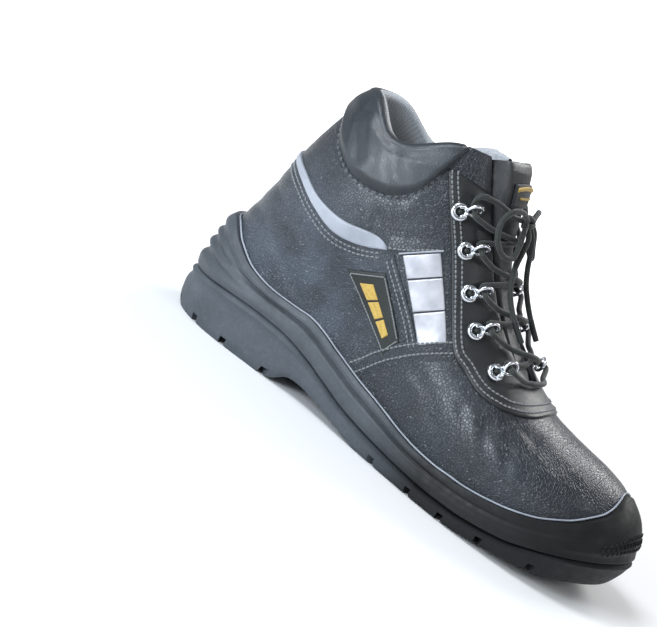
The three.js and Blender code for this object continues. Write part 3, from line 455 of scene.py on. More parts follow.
class Nodes:
    """Short calls for the nodes of one material."""

    def __init__(self, m):
        self.tree = m.node_tree
        self.shader = self.tree.nodes["Principled BSDF"]
        self.place = self.add("ShaderNodeTexCoord").outputs["Object"]

    def add(self, kind, inputs=(), **settings):
        node = self.tree.nodes.new(kind)
        for key, value in settings.items():
            setattr(node, key, value)
        for key, value in dict(inputs).items():
            if isinstance(value, bpy.types.NodeSocket):
                self.tree.links.new(value, node.inputs[key])
            else:
                node.inputs[key].default_value = value
        return node

    def noise(self, scale, detail=3):
        inputs = {"Vector": self.place, "Scale": scale, "Detail": detail, "Roughness": 0.55}
        return self.add("ShaderNodeTexNoise", inputs).outputs["Fac"]

    def cells(self, scale, feature="F1", randomness=1.0, vector=None):
        inputs = {"Vector": vector or self.place, "Scale": scale, "Randomness": randomness}
        return self.add("ShaderNodeTexVoronoi", inputs, feature=feature).outputs["Distance"]

    def times(self, a, b):
        return self.add("ShaderNodeMath", {0: a, 1: b}, operation="MULTIPLY").outputs[0]

    def ramp(self, value, low, high, to_low=0.0, to_high=1.0):
        inputs = {"Value": value, "From Min": low, "From Max": high, "To Min": to_low, "To Max": to_high}
        return self.add("ShaderNodeMapRange", inputs).outputs[0]

    def blend(self, share, a, b):
        node = self.add("ShaderNodeMix", {"Factor": share}, data_type="RGBA")
        for key, value in (("A", a), ("B", b)):
            socket = next(s for s in node.inputs if s.name == key and s.type == "RGBA")
            if isinstance(value, bpy.types.NodeSocket):
                self.tree.links.new(value, socket)
            else:
                socket.default_value = (*value, 1)
        return next(s for s in node.outputs if s.type == "RGBA")

    def bump(self, height, distance, strength=1.0, normal=None):
        inputs = {"Height": height, "Distance": distance, "Strength": strength}
        if normal is not None:
            inputs["Normal"] = normal
        return self.add("ShaderNodeBump", inputs).outputs[0]

    def out(self, **sockets):
        for key, value in sockets.items():
            self.tree.links.new(value, self.shader.inputs[key.replace("_", " ")])


QUARTER_HIGHLIGHT_MIDDLE, HIGHLIGHT_FADE_FROM, HIGHLIGHT_FADE_TO = (0.026, 0.0, 0.058), 0.03, 0.085  # centre of the painted highlight on the quarter, in metres, and the distances from there over which it fades out
SWAY_SCALE, SWAY_BY = 260.0, 0.0016


def leather(name, dark, light, roughness, grain, depth, worn=0.25, highlight_gain=1.0):
    """Grained leather: pebbles parted by fine folds, cloudy tone, pale rubbed places, and a painted highlight
    that brightens the tone round the quarter.
    """
    m = material(name, dark, roughness, Specular_IOR_Level=0.5, Coat_Weight=0.18, Coat_Roughness=0.32)
    n = Nodes(m)
    sway = n.add("ShaderNodeTexNoise", {"Vector": n.place, "Scale": SWAY_SCALE}).outputs["Color"]
    small = n.add("ShaderNodeVectorMath", {0: sway, 1: (SWAY_BY,) * 3}, operation="MULTIPLY").outputs[0]
    warped = n.add("ShaderNodeVectorMath", {0: n.place, 1: small}, operation="ADD").outputs[0]
    pebble = n.cells(grain, "DISTANCE_TO_EDGE", vector=warped)
    folds = n.ramp(pebble, 0.0, 0.16)
    pores = n.noise(2600.0, 2)
    cloud = n.noise(34.0, 4)
    # painted highlight: the light tone is made several times brighter round the middle of the quarter and
    # fades back to its own value further away
    away = n.add("ShaderNodeVectorMath", {0: n.place, 1: QUARTER_HIGHLIGHT_MIDDLE}, operation="DISTANCE")
    highlighted_light = n.blend(n.ramp(away.outputs["Value"], HIGHLIGHT_FADE_FROM, HIGHLIGHT_FADE_TO), tuple(highlight_gain * c for c in light), light)
    tone = n.blend(n.ramp(cloud, 0.3, 0.6), dark, highlighted_light)
    rubbed = n.times(n.ramp(n.noise(120.0, 5), 0.56, 0.74), worn)
    pale = tuple(min(1.0, 2.2 * c + 0.01) for c in light)
    n.out(Base_Color=n.blend(n.times(rubbed, folds), tone, pale))
    n.out(Roughness=n.ramp(n.noise(300.0), 0.3, 0.7, roughness - 0.07, roughness + 0.09))
    fine = n.bump(pores, 0.00008, 0.5)
    n.out(Normal=n.bump(folds, depth, 0.75, n.bump(cloud, 0.0012, 0.25, fine)))
    return m


TOE_SHADE_FROM, TOE_SHADE_TO = 0.1, 0.15  # metres along X, where the painted shade that darkens the sole towards the toe begins and where it is full


def moulded(name, dark, light, roughness, front=1.0):
    """Moulded rubber: fine even texture, cloudy tone, a little dust, and painted shade that darkens the front
    part.
    """
    m = material(name, dark, roughness, Specular_IOR_Level=0.32)
    n = Nodes(m)
    cloud = n.ramp(n.noise(45.0, 5), 0.3, 0.72)
    dust = n.ramp(n.noise(420.0, 4), 0.5, 0.8, 0.0, 0.35)
    whole = n.blend(dust, n.blend(cloud, dark, light), tuple(1.5 * c for c in light))
    # painted shade: towards the toe both tones are multiplied by front, the dust still mixed in
    x = n.add("ShaderNodeSeparateXYZ", {0: n.place}).outputs["X"]
    shaded_dark, shaded_light = (tuple(front * c for c in tone) for tone in (dark, light))
    shaded_toe = n.blend(n.blend(dust, dark, light), shaded_dark, shaded_light)
    n.out(Base_Color=n.blend(n.ramp(x, TOE_SHADE_FROM, TOE_SHADE_TO), whole, shaded_toe) if front < 1 else whole)
    n.out(Roughness=n.ramp(n.noise(200.0, 4), 0.3, 0.7, roughness - 0.08, roughness + 0.1))
    n.out(Normal=n.bump(n.noise(1500.0), 0.00006, 0.6))
    return m


def cloth(name, dark, light, roughness, thread, depth):
    """Woven or knitted cloth: rows of round bumps in two directions."""
    m = material(name, dark, roughness, Sheen_Weight=0.25, Sheen_Roughness=0.5)
    n = Nodes(m)
    knots = n.cells(thread, "F1", 0.12)
    weave = n.ramp(knots, 0.2, 0.7, 1.0, 0.0)
    n.out(Base_Color=n.blend(n.times(weave, n.ramp(n.noise(60.0), 0.2, 0.8, 0.7, 1.0)), dark, light))
    n.out(Normal=n.bump(weave, depth, 0.9))
    return m


def thread_cloth(name, dark, light, pitch):
    """Twisted thread: fine cells, pale on their crowns."""
    m = material(name, dark, 0.7, Sheen_Weight=0.3, Sheen_Roughness=0.4)
    n = Nodes(m)
    twist = n.cells(pitch, "F1", 0.5)
    n.out(Base_Color=n.blend(n.ramp(twist, 0.1, 0.6, 1.0, 0.0), dark, light))
    n.out(Normal=n.bump(n.ramp(twist, 0.0, 0.7, 1.0, 0.0), 0.00022, 0.9))
    return m


# the last number of the plain leather is the strength of its painted highlight on the quarter
LEATHER = leather("leather", (0.01, 0.013, 0.018), (0.017, 0.022, 0.029), 0.37, 560.0, 0.0003, 0.16, 3.3)
PAD_LEATHER = leather("pad_leather", (0.009, 0.012, 0.015), (0.022, 0.028, 0.035), 0.35, 900.0, 0.00007, 0.12)
FACING = leather("facing_leather", (0.008, 0.009, 0.01), (0.014, 0.016, 0.018), 0.4, 900.0, 0.00008, 0.1)
TONGUE_TONES = (0.009, 0.01, 0.011), (0.015, 0.017, 0.019)
TONGUE_LEATHER = leather("tongue_cloth", *TONGUE_TONES, 0.42, 800.0, 0.00009, 0.08)
GREY_TRIM = leather("grey_trim", (0.2, 0.22, 0.255), (0.31, 0.335, 0.38), 0.5, 900.0, 0.00005, 0.1)
LINING = cloth("lining", (0.025, 0.03, 0.034), (0.5, 0.54, 0.58), 0.9, 330.0, 0.0009)
PALE_LINING = cloth("pale_lining", (0.3, 0.32, 0.34), (0.55, 0.57, 0.6), 0.9, 900.0, 0.0002)
# front: how dark the painted shade makes the toe end of each sole part
MIDSOLE = moulded("midsole_rubber", (0.05, 0.057, 0.066), (0.072, 0.082, 0.094), 0.54, front=0.04)
OUTSOLE = moulded("outsole_rubber", (0.055, 0.064, 0.074), (0.08, 0.092, 0.106), 0.6, front=0.1)
LACE = thread_cloth("lace", (0.008, 0.01, 0.009), (0.035, 0.042, 0.038), 1300.0)
THREAD = thread_cloth("stitch_thread", (0.14, 0.15, 0.16), (0.34, 0.36, 0.38), 2600.0)
DARK_THREAD = thread_cloth("dark_thread", (0.05, 0.056, 0.064), (0.15, 0.165, 0.185), 2600.0)
GOLD = thread_cloth("gold_thread", (0.42, 0.27, 0.05), (0.8, 0.58, 0.16), 2600.0)
LABEL = thread_cloth("label", (0.009, 0.01, 0.013), (0.022, 0.025, 0.03), 1700.0)
BADGE = moulded("badge", (0.012, 0.014, 0.014), (0.022, 0.026, 0.024), 0.45)


def steel():
    m = material("steel", (0.7, 0.73, 0.77), 0.24, Metallic=1.0)
    n = Nodes(m)
    n.out(Roughness=n.ramp(n.noise(700.0, 4), 0.3, 0.75, 0.14, 0.34))
    n.out(Normal=n.bump(n.noise(900.0, 2), 0.00001, 0.3))
    return m


def reflective():
    """Silver cloth of tiny glass beads, faintly creased."""
    m = material("reflective", (0.72, 0.73, 0.77), 0.34, Metallic=0.35, Sheen_Weight=0.2)
    n = Nodes(m)
    tone = n.ramp(n.noise(90.0, 4), 0.3, 0.7)
    n.out(Base_Color=n.blend(tone, (0.34, 0.35, 0.39), (0.54, 0.54, 0.58)))
    beads = n.bump(n.cells(2400.0), 0.00004, 0.5)
    n.out(Normal=n.bump(n.noise(70.0, 2), 0.0012, 0.5, beads))
    return m


STEEL = steel()
REFLECTIVE = reflective()


# Camera, as the photograph was taken: level distance, then rolled
AZIMUTH, ELEVATION, ROLL = math.radians(15), math.radians(12), math.radians(33.5)
DISTANCE, PIXEL = 1.2, 0.00056
IMAGE_WIDE, IMAGE_HIGH = 657, 627
AIM = Vector(to_metres([140, 0, 80]))
AIM_PIXEL = (442.6, 308.5)


def make_camera():
    back = Vector((
        math.sin(AZIMUTH) * math.cos(ELEVATION),
        -math.cos(AZIMUTH) * math.cos(ELEVATION),
        math.sin(ELEVATION),
    ))
    right = Vector((math.cos(AZIMUTH), math.sin(AZIMUTH), 0))
    up = back.cross(right)
    data = bpy.data.cameras.new("camera")
    data.sensor_width = 36
    data.lens = 36 * DISTANCE / (PIXEL * IMAGE_WIDE)
    level = Matrix((right, up, back)).transposed()
    rolled = level @ Matrix.Rotation(ROLL, 3, "Z")
    off_x = (AIM_PIXEL[0] - IMAGE_WIDE / 2) * PIXEL
    off_y = (IMAGE_HIGH / 2 - AIM_PIXEL[1]) * PIXEL
    turn = Matrix.Rotation(-math.atan(off_x / DISTANCE), 3, "Y") @ Matrix.Rotation(
        -math.atan(off_y / DISTANCE), 3, "X")
    camera = bpy.data.objects.new("camera", data)
    camera.matrix_world = Matrix.Translation(AIM + back * DISTANCE) @ (rolled @ turn.inverted()).to_4x4()
    bpy.context.scene.collection.objects.link(camera)
    bpy.context.scene.camera = camera


make_camera()


def area_light(name, place, size, power, colour=(1, 1, 1)):
    data = bpy.data.lights.new(name, "AREA")
    data.shape = "RECTANGLE"
    data.size, data.size_y = size
    data.energy, data.color = power, colour
    light = bpy.data.objects.new(name, data)
    light.location = AIM + Vector(place)
    light.rotation_euler = (-Vector(place)).to_track_quat("-Z", "Y").to_euler()
    bpy.context.scene.collection.objects.link(light)


area_light("key", (-0.6, -0.6, 1.2), (0.6, 0.6), 14, (0.9, 0.95, 1.0))
area_light("side", (-0.55, -1.35, 0.4), (0.5, 0.6), 20, (0.84, 0.92, 1.0))
area_light("rim", (0.3, 1.2, 0.9), (1.0, 0.5), 12)
area_light("front", (1.4, -0.3, 0.9), (0.4, 0.4), 3)


def make_world():
    """Soft light from the sky, and plain white where the camera looks past the boot."""
    world = bpy.data.worlds.new("studio")
    world.use_nodes = True
    bpy.context.scene.world = world
    tree = world.node_tree
    sky = tree.nodes["Background"]
    sky.inputs["Color"].default_value = (0.95, 0.97, 1.0, 1)
    sky.inputs["Strength"].default_value = 0.3
    seen = tree.nodes.new("ShaderNodeBackground")
    seen.inputs["Strength"].default_value = 1.4
    to_eye = tree.nodes.new("ShaderNodeLightPath").outputs["Is Camera Ray"]
    choose = tree.nodes.new("ShaderNodeMixShader")
    tree.links.new(to_eye, choose.inputs[0])
    tree.links.new(sky.outputs[0], choose.inputs[1])
    tree.links.new(seen.outputs[0], choose.inputs[2])
    tree.links.new(choose.outputs[0], tree.nodes["World Output"].inputs["Surface"])
    bpy.context.scene.view_settings.view_transform = "Standard"


FLOOR_RADIUS, FLOOR_SIDES = 1.6, 96


def make_floor():
    """A white disc that glows towards its rim, so that it has no edge in the picture."""
    floor_mesh = bpy.data.meshes.new("floor")
    turns = np.linspace(0, 2 * math.pi, FLOOR_SIDES, endpoint=False)
    rim_points = np.stack([np.cos(turns), np.sin(turns), 0 * turns], -1) * FLOOR_RADIUS
    floor_mesh.from_pydata(rim_points.tolist(), [], [list(range(FLOOR_SIDES))])
    pale = material("floor", (0.93, 0.93, 0.93), 0.9)
    pale_nodes = Nodes(pale)
    far = pale_nodes.add("ShaderNodeVectorMath", {0: pale_nodes.place}, operation="LENGTH").outputs["Value"]
    pale.node_tree.nodes["Principled BSDF"].inputs["Emission Color"].default_value = (1, 1, 1, 1)
    pale_nodes.out(Emission_Strength=pale_nodes.ramp(far, 0.3, 1.0, 0.0, 0.9))
    floor_mesh.materials.append(pale)
    floor = bpy.data.objects.new("floor", floor_mesh)
    bpy.context.scene.collection.objects.link(floor)


make_world()
make_floor()


# Lace: through the rings, across the tongue, and the bow over its knot
LOOP_TILT, LOOP_AHEAD = math.radians(55), 7.6
LOOP_RISE = RING_HALF * math.sin(LOOP_TILT) + RING_WIRE_RADIUS + 0.2
THROUGH, LACE_DIVE, LACE_ROOM, LEAVE = 4, math.radians(29), 0.6, 0.22
FACING_TOP = GAP + OVERLAY_THICK
KNOT_COURSE, KNOT_LAYER = 12.56, 4.2
TO_KNOT = [
    [0.3, 26, 1],
    [0.3, 20, 1],
    [0.2, 14, 1],
    [0.08, 8, 1.6],
]
BOW_LOOP = [
    [0.04, 3, 4.6],
    [0.2, 10, 5.4],
    [0.15, 16, 5.8],
    [-0.15, 20.5, 6],
    [-0.6, 21.5, 6],
    [-0.95, 19, 6.2],
    [-0.95, 14, 6.4],
    [-0.65, 10, 6.4],
    [-0.3, 7.6, 6.0],
    [-0.04, 4, 4.8],
]
LOOSE_END = [
    [-0.14, 1.8, 5.0],
    [-0.42, 2.8, 6.4],
    [-0.75, 6, 6.2],
    [-1.15, 9.5, 5.2],
    [-1.6, 12, 4.4],
    [-2.0, 13, 4.2],
    [-2.4, 13, 4.2],
    [-2.8, 12.5, 4.2],
    [-3.1, 12, 4.0],
]


def tongue_row(name, t):
    return np.interp(t, TONGUE["course"], TONGUE[name])


def over_front(t, y, layer):
    under = np.maximum(tongue_row("lift", t), FACING_TOP)
    return upper_out(t, angle_across(t, y), under + LACE_ROOM + LACE_RADIUS * layer)


def ring_frame(k, side):
    t, a = course_at(upper_x(RINGS["x"][k]), upper_z(RINGS["z"][k]), side)
    base = upper_out(t, a, OVERLAY_THICK + 3 * GAP)
    out = unit(upper_out(t, a, 10) - upper_point(t, a))
    up = unit(THROAT_UP - out * (THROAT_UP @ out))
    front = unit(np.cross(up, out) * -side)
    return base, out, up, front


def loop_middle(base, out, front):
    return base + front * LOOP_AHEAD + out * LOOP_RISE


def through_ring(k, side):
    base, out, up, front = ring_frame(k, side)
    dive = up * math.cos(LACE_DIVE) - out * math.sin(LACE_DIVE)
    return [loop_middle(base, out, front) + dive * run for run in (-THROUGH, 0, THROUGH)]


def loop_foot(k, side):
    """Course and angle on the face under the middle of a lace ring's loop."""
    base, out, _, front = ring_frame(k, side)
    foot = base + front * LOOP_AHEAD - out * (OVERLAY_THICK + 3 * GAP)
    return [float(v) for v in course_at(foot[0], foot[2], -1)]


def across_front(start_ring, side, end_ring, hump):
    t0, a0 = loop_foot(start_ring, side)
    t1, a1 = loop_foot(end_ring, -side)
    leave = [-LEAVE, -LEAVE] if start_ring == end_ring else [LEAVE, -LEAVE]
    points = []
    for s in np.linspace(0.16, 0.84, 6):
        turn = mix(a0, -a1, s)
        t = mix(t0 + leave[0], t1 + leave[1], s)
        layer = mix(1, hump, smooth(0.2, 0.42, s) * smooth(0.2, 0.42, 1 - s))
        p = upper_point(t, abs(turn))
        across = side * math.copysign(abs(p[1] - swing(p[0])), turn)
        points.append(over_front(t, across, layer))
    return points


KNOT = over_front(KNOT_COURSE, 0, KNOT_LAYER)
LACE_STEP, LACE_SIDES = 1.1, 12


def lace_path():
    """Both halves of the lace, from the knot down through the rings, joined across the lowest pair."""
    last = len(RINGS["x"]) - 1

    def half(side):
        points = []
        for k in range(last, -1, -1):
            at = -side if (last - k) % 2 else side
            points += through_ring(k, at)
            if k > 0:
                points += across_front(k, at, k - 1, 1 if at < 0 else 3.3)
        at = -side if last % 2 else side
        points += [over_front(KNOT_COURSE + t, at * y, layer) for t, y, layer in TO_KNOT]
        return [*points, KNOT]

    bar = across_front(last, -1, last, 1.6)
    return [*half(-1)[::-1], *bar, *half(1)]


crossings = tube(resample(lace_path(), LACE_STEP), LACE_RADIUS, LACE_SIDES)
lace = make_mesh("lace_run", *crossings, LACE, "lace_crossings")


def knot_mesh():
    """The knot: three turns of the lace drawn tight round its middle."""
    out = upper_normal(KNOT_COURSE, 0.0)
    up = unit(THROAT_UP - out * (THROAT_UP @ out))
    side = np.cross(up, out)
    parts = []
    for tilt, wide, high, shift in ((12, 5.2, 3.2, -1.6), (-18, 5.0, 3.3, 1.3), (80, 3.6, 3.0, 0.0)):
        turn = np.linspace(0, 2 * math.pi, 36, endpoint=False)[:, None]
        lean = math.radians(tilt)
        run = side * math.cos(lean) + up * math.sin(lean)
        points = KNOT + up * shift + run * wide * np.cos(turn) * 0.8 + out * high * np.sin(turn) * 0.8
        parts.append(tube(points, LACE_RADIUS * 0.95, 10, closed=True))
    return join(parts)


knot = make_mesh("knot", *knot_mesh(), LACE, "lace_knot")


def free_path(table, side):
    return resample([over_front(KNOT_COURSE + t, side * y, layer) for t, y, layer in table], LACE_STEP)


def free_lace(name, table, side, node):
    """A loop or an end of the bow: a cord that runs from the knot."""
    path = free_path(table, side)
    cord = make_mesh(name, *tube(path, LACE_RADIUS, LACE_SIDES), LACE, node)


def lace_tip(name, table, side):
    """The hard tip on a lace end: a thin sleeve, a little narrower than the lace."""
    path = free_path(table, side)[-13:]
    width = LACE_RADIUS + np.interp(np.arange(len(path)), [0, 1, 11, 12], [-0.1, 0.12, 0.05, -0.5])
    tip = make_mesh(name, *tube(path, width, 14), BADGE)
    return tip


for name, side in (("outer", -1), ("inner", 1)):
    tip = lace_tip(f"lace_tip_{name}", LOOSE_END, side)
    free_lace(f"bow_loop_{name}", BOW_LOOP, side, f"lace_loop_{name}")
    free_lace(f"loose_end_{name}", LOOSE_END, side, f"lace_end_{name}")


# Creases: points in the side view, side (-1 outer, 1 inner, 0 across both), depth and half-width
CREASES = [
    ([(0.64, 0.2), (0.67, 0.14), (0.69, 0.08), (0.7, 0.03)], 0, 0.55, 2.6),
    ([(0.7, 0.2), (0.72, 0.13), (0.745, 0.07), (0.75, 0.02)], 0, 0.7, 3.2),
    ([(0.745, 0.24), (0.765, 0.17), (0.785, 0.1), (0.79, 0.05)], 0, 0.5, 2.4),
    ([(0.79, 0.25), (0.8, 0.2), (0.82, 0.14), (0.83, 0.06)], 0, 0.45, 2.2),
    ([(0.73, 0.27), (0.79, 0.245), (0.85, 0.22), (0.9, 0.2)], -1, 0.5, 1.6),
    ([(0.76, 0.25), (0.82, 0.215), (0.87, 0.19), (0.93, 0.15)], -1, 0.35, 1.3),
    ([(0.03, 0.33), (0.09, 0.3), (0.16, 0.24), (0.22, 0.16)], 0, 0.35, 3.4),
    ([(0.04, 0.45), (0.12, 0.42), (0.2, 0.36)], 0, 0.3, 3.0),
    ([(0.29, 0.62), (0.31, 0.56), (0.335, 0.5)], 0, 0.5, 3.2),
    ([(0.25, 0.6), (0.27, 0.54), (0.3, 0.49)], 0, 0.35, 2.6),
    ([(0.24, 0.92), (0.27, 0.82), (0.31, 0.75)], 0, 0.6, 4.0),
    ([(0.15, 0.95), (0.155, 0.87), (0.19, 0.78)], 0, 0.7, 3.6),
    ([(0.52, 0.2), (0.57, 0.16), (0.61, 0.08)], 0, 0.3, 3.4),
]


def crease_field(points, sides):
    """How far the creases sink the face at each point."""
    sunk = np.zeros(len(points))
    for line, side, depth, wide in CREASES:
        xz = resample([(upper_x(x), upper_z(z)) for x, z in line], 4)
        far = np.full(len(points), 1e9)
        for a, b in zip(xz[:-1], xz[1:]):
            ab = b - a
            s = np.clip(((points[:, [0, 2]] - a) @ ab) / (ab @ ab), 0, 1)
            far = np.minimum(far, np.linalg.norm(points[:, [0, 2]] - a - s[:, None] * ab, axis=1))
        here = np.where(side == 0, 1.0, sides == side)
        lip = np.exp(-(((far - 1.9 * wide) / (0.9 * wide)) ** 2))
        sunk += here * depth * (np.exp(-((far / wide) ** 2)) - 0.4 * lip)
    return sunk


# Upper: outer face, round rim and lining as one sheet that is open at the throat
def edge_angles(t):
    """Angles of the throat's two edges on courses t, each counted from the front."""
    half = np.maximum(slot_half(t), 0)
    inner = np.mod(-angle_across(t, np.maximum(half, 2e-6)), 2 * math.pi)
    return np.where(half > 0, angle_across(t, -half), 0.0), np.where(half > 0, inner, 0.0)


COLS = 236


def face_rows(t, offset):
    outer, inner = edge_angles(t)
    s = np.linspace(0, 1, COLS)[None]
    a = outer[:, None] + s * (2 * math.pi - inner - outer)[:, None]
    t2 = np.broadcast_to(t[:, None], a.shape)
    return t2, a, upper_out(t2, a, offset(t2, a))


def face_offset(t, a):
    """Creases and the swell of the collar on the outer face."""
    p = upper_point(t, a)
    side = np.where(np.mod(a, 2 * math.pi) <= math.pi, -1, 1)
    flat = p.reshape(-1, 3)
    keep = smooth(0.4, 1.6, t) * (1 - smooth(13.4, 14, t))
    return collar_swell(t, a) - keep * crease_field(flat, side.ravel()).reshape(t.shape)


def inner_offset(t, a):
    return -(WALL + COLLAR_PAD * pad_share(t, a))


RIM_STEPS, RIM_RISE, RIM_ROWS = 12, 0.42, 10
LEATHER_LOOK, PAD_LOOK, LINING_LOOK, RIM_LOOK = 0, 1, 2, 3


def build_upper():
    """The shell of the upper, with a look for its leather, its collar, its rim and its lining."""
    low = np.linspace(0.06, THROAT_COURSE, 104)
    bowl = THROAT_COURSE + np.array([0.0015, 0.006, 0.015, 0.03, 0.055, 0.09, 0.14, 0.2, 0.27, 0.35])
    rows = np.concatenate([low, bowl, np.linspace(THROAT_COURSE + 0.42, TOP_COURSE, 96)])
    t, a, outer = face_rows(rows, face_offset)
    inside = np.linspace(TOP_COURSE, -0.3, 56)
    _, ai, inner = face_rows(inside, inner_offset)
    top, bottom = outer[-1], inner[0]
    rise = unit(outer[-1] - outer[-3])
    span = np.linalg.norm(top - bottom, axis=1, keepdims=True)
    rim = []
    for turn in np.linspace(0, math.pi, RIM_STEPS)[1:-1]:
        middle = (top + bottom) / 2
        rim.append(middle + (top - bottom) / 2 * math.cos(turn) + rise * span * RIM_RISE * math.sin(turn))
    grid = np.concatenate([outer, np.array(rim), inner])
    count = len(grid)
    faces = grid_faces(count, COLS)
    row = faces[:, 0] // COLS
    col = faces[:, 0] % COLS
    over = over_pad_line(t, a)
    slots = np.zeros(len(faces), int)
    on_face = row < len(rows) - 1
    slots[on_face] = np.where(over[row[on_face], col[on_face]] > 0, PAD_LOOK, LEATHER_LOOK)
    rim_low = len(rows) + 4
    slots[(row >= len(rows) - 1) & (row < rim_low)] = PAD_LOOK
    slots[(row >= rim_low) & (row < rim_low + RIM_ROWS)] = RIM_LOOK
    slots[row >= rim_low + RIM_ROWS] = LINING_LOOK
    points = grid.reshape(-1, 3)
    edges = []
    start = len(points)
    open_rows = np.nonzero(inside > THROAT_COURSE)[0]
    te = inside[open_rows]
    for edge in (0, COLS - 1):
        angle = ai[open_rows, edge]
        face = upper_out(te, angle, collar_swell(te, angle))
        back = inner[open_rows, edge]
        strip = np.stack([mix(face, back, s) for s in (0, 0.5, 1)])
        edges.append(strip.reshape(-1, 3))
        more = grid_faces(3, len(te), start, flip=edge > 0)
        faces = np.concatenate([faces, more])
        slots = np.concatenate([slots, np.zeros(len(more), int)])
        start += strip.size // 3
    points = np.concatenate([points, *edges])
    piece = make_mesh("upper_leather", points, faces, LEATHER, "upper",
                      slots=(PAD_LEATHER, LINING, PALE_LINING), face_slots=slots)
    merge(piece)


build_upper()


# Sheets laid on the upper
def on_face(t, a, lift):
    return upper_out(t, a, face_offset(t, a) + lift)


def edge_profile(count, share):
    """Places across a sheet and its height there: up over a rounded edge, flat, and down again."""
    flat = np.linspace(share * 2, 1 - share * 2, count)
    places = np.concatenate([[0, 0, share * 0.5, share], flat, [1 - share, 1 - share * 0.5, 1, 1]])
    heights = np.concatenate([[-0.2, 0.5, 0.85, 0.98], np.ones(count), [0.98, 0.85, 0.5, -0.2]])
    return places, heights


def sheet_between(name, first, second, thick, look, node, rows, share):
    """A sheet between two lines of (course, angle), with rounded edges all round."""
    v, high = edge_profile(rows, share)
    line = mix(first[None], second[None], v[:, None, None])
    along_it = np.ones(len(first))
    along_it[[0, -1]] = 0.0
    along_it[[1, -2]] = 0.75
    height = np.minimum(high[:, None], along_it[None] * 1.2 - 0.2)
    t, a = line[..., 0], line[..., 1]
    points = on_face(t, a, 0.05 + thick * height)
    return make_mesh(name, points.reshape(-1, 3), grid_faces(*t.shape), look, node)


def xz_line(shares, spacing=2.0, side=-1, shift=0.0):
    """(course, angle) along a line of the side view, moved sideways by shift in millimetres."""
    line = resample([(upper_x(x), upper_z(z)) for x, z in shares], spacing)
    if shift:
        way = unit(np.gradient(line, axis=0))
        line = line + np.stack([way[:, 1], -way[:, 0]], -1) * shift
    return np.stack(course_at(line[:, 0], line[:, 1], side), -1)


def signed(line):
    """Angles counted from the front, negative on the inner side."""
    t, a = line[:, 0], np.mod(line[:, 1], 2 * math.pi)
    return np.stack([t, np.where(a > math.pi, a - 2 * math.pi, a)], -1)


def even(line, count):
    """A (course, angle) line again at even steps over the surface."""
    p = upper_point(line[:, 0], line[:, 1])
    run = np.concatenate([[0], np.cumsum(np.linalg.norm(np.diff(p, axis=0), axis=1))])
    at = np.linspace(0, run[-1], count)
    return np.stack([np.interp(at, run, line[:, k]) for k in (0, 1)], -1)


def stitch_rows(name, rows, look, pitch, length, radius):
    """Stitches along rows of (line, lift): short arched threads whose ends go into the leather."""
    parts = []
    for line, lift in rows:
        fine = even(np.asarray(line), 4 * len(line))
        p = on_face(fine[:, 0], fine[:, 1], lift)
        n = upper_normal(fine[:, 0], fine[:, 1])
        run = np.concatenate([[0], np.cumsum(np.linalg.norm(np.diff(p, axis=0), axis=1))])
        for start in np.arange(0.3 * pitch, run[-1] - length, pitch):
            at = start + length * np.array([0, 0.22, 0.5, 0.78, 1.0])
            centre = np.stack([np.interp(at, run, p[:, k]) for k in range(3)], -1)
            out = np.stack([np.interp(at, run, n[:, k]) for k in range(3)], -1)
            rise = radius * np.array([-0.8, 0.25, 0.5, 0.25, -0.8])
            parts.append(tube(centre + out * rise[:, None], radius, 6))
    make_mesh(name, *join(parts), look)


# Facings with their lace opening
EYESTAY_EDGE = [
    (0.35, 0.99),
    (0.355, 0.93),
    (0.44, 0.69),
    (0.548, 0.38),
    (0.6, 0.315),
    (0.65, 0.275),
    (0.7, 0.27),
]
EYESTAY_TIP, COURSE_RISE = 7.3, 11  # course of the tip on the ridge, and millimetres in a course there


def eyestay_edge(side, shift=0.0):
    line = signed(xz_line(EYESTAY_EDGE, 2.0, side, shift))
    low, turn = line[-1]
    tip = EYESTAY_TIP - shift / COURSE_RISE
    bend = np.linspace(0, 1, 12)[1:]
    over = np.stack([mix(low, tip, np.sin(bend * math.pi / 2)), turn * (1 - bend)], -1)
    return np.concatenate([line, over])


FACING_COURSE, EDGE_SKIP = 13.1, 3  # top of the facings, and the points of the outline above it


def throat_edge(side):
    t = np.linspace(FACING_COURSE, THROAT_COURSE + 0.001, 160)
    outer, inner = edge_angles(t)
    line = even(np.stack([t, outer if side < 0 else -inner], -1), 120)
    line[-1] = [THROAT_COURSE, 0]
    return line


def round_the_tip(line):
    """One line for both sides: down the outer facing and up the inner one."""
    return np.concatenate([line(-1), line(1)[-2::-1]])


def build_facings():
    near = round_the_tip(throat_edge)
    far = round_the_tip(lambda side: even(eyestay_edge(side)[EDGE_SKIP:], 120))
    piece = sheet_between("lace_facings", near, far, OVERLAY_THICK, FACING, "eyestay", 22, 0.035)
    rows = []
    for shift in (-1.8, -4.6):
        line = round_the_tip(lambda side: even(eyestay_edge(side, shift)[EDGE_SKIP:], 110))
        rows.append((line, OVERLAY_THICK + 0.05))
    stitch_rows("facing_stitches", rows, THREAD, 2.7, 1.8, 0.5)


build_facings()


# Lines that go round the back of the boot
def around(height, a):
    """Courses at angles a where the upper's face has the height that height(x share) gives."""

    def gap(t):
        p = upper_point(t, a)
        return p[..., 2] - upper_z(height((p[..., 0] - UPPER_BACK) / UPPER_LENGTH))

    return solve(gap, np.full(a.shape, 3.0), np.full(a.shape, 14.5))


def side_curve(points):
    """Height as a share over x as a share, smoothly through points of the side view."""
    fine = resample(np.array(points) * [UPPER_LENGTH, UPPER_HEIGHT], 1.0) / [UPPER_LENGTH, UPPER_HEIGHT]
    return lambda x: np.interp(x, fine[:, 0], fine[:, 1])


def ends_at(share_x, share_z):
    """Angles on the outer and inner side at a point of the side view, as one range round the back."""
    outer = course_at(upper_x(share_x), upper_z(share_z), -1)[1]
    inner = course_at(upper_x(share_x), upper_z(share_z), 1)[1]
    return float(outer), float(inner)


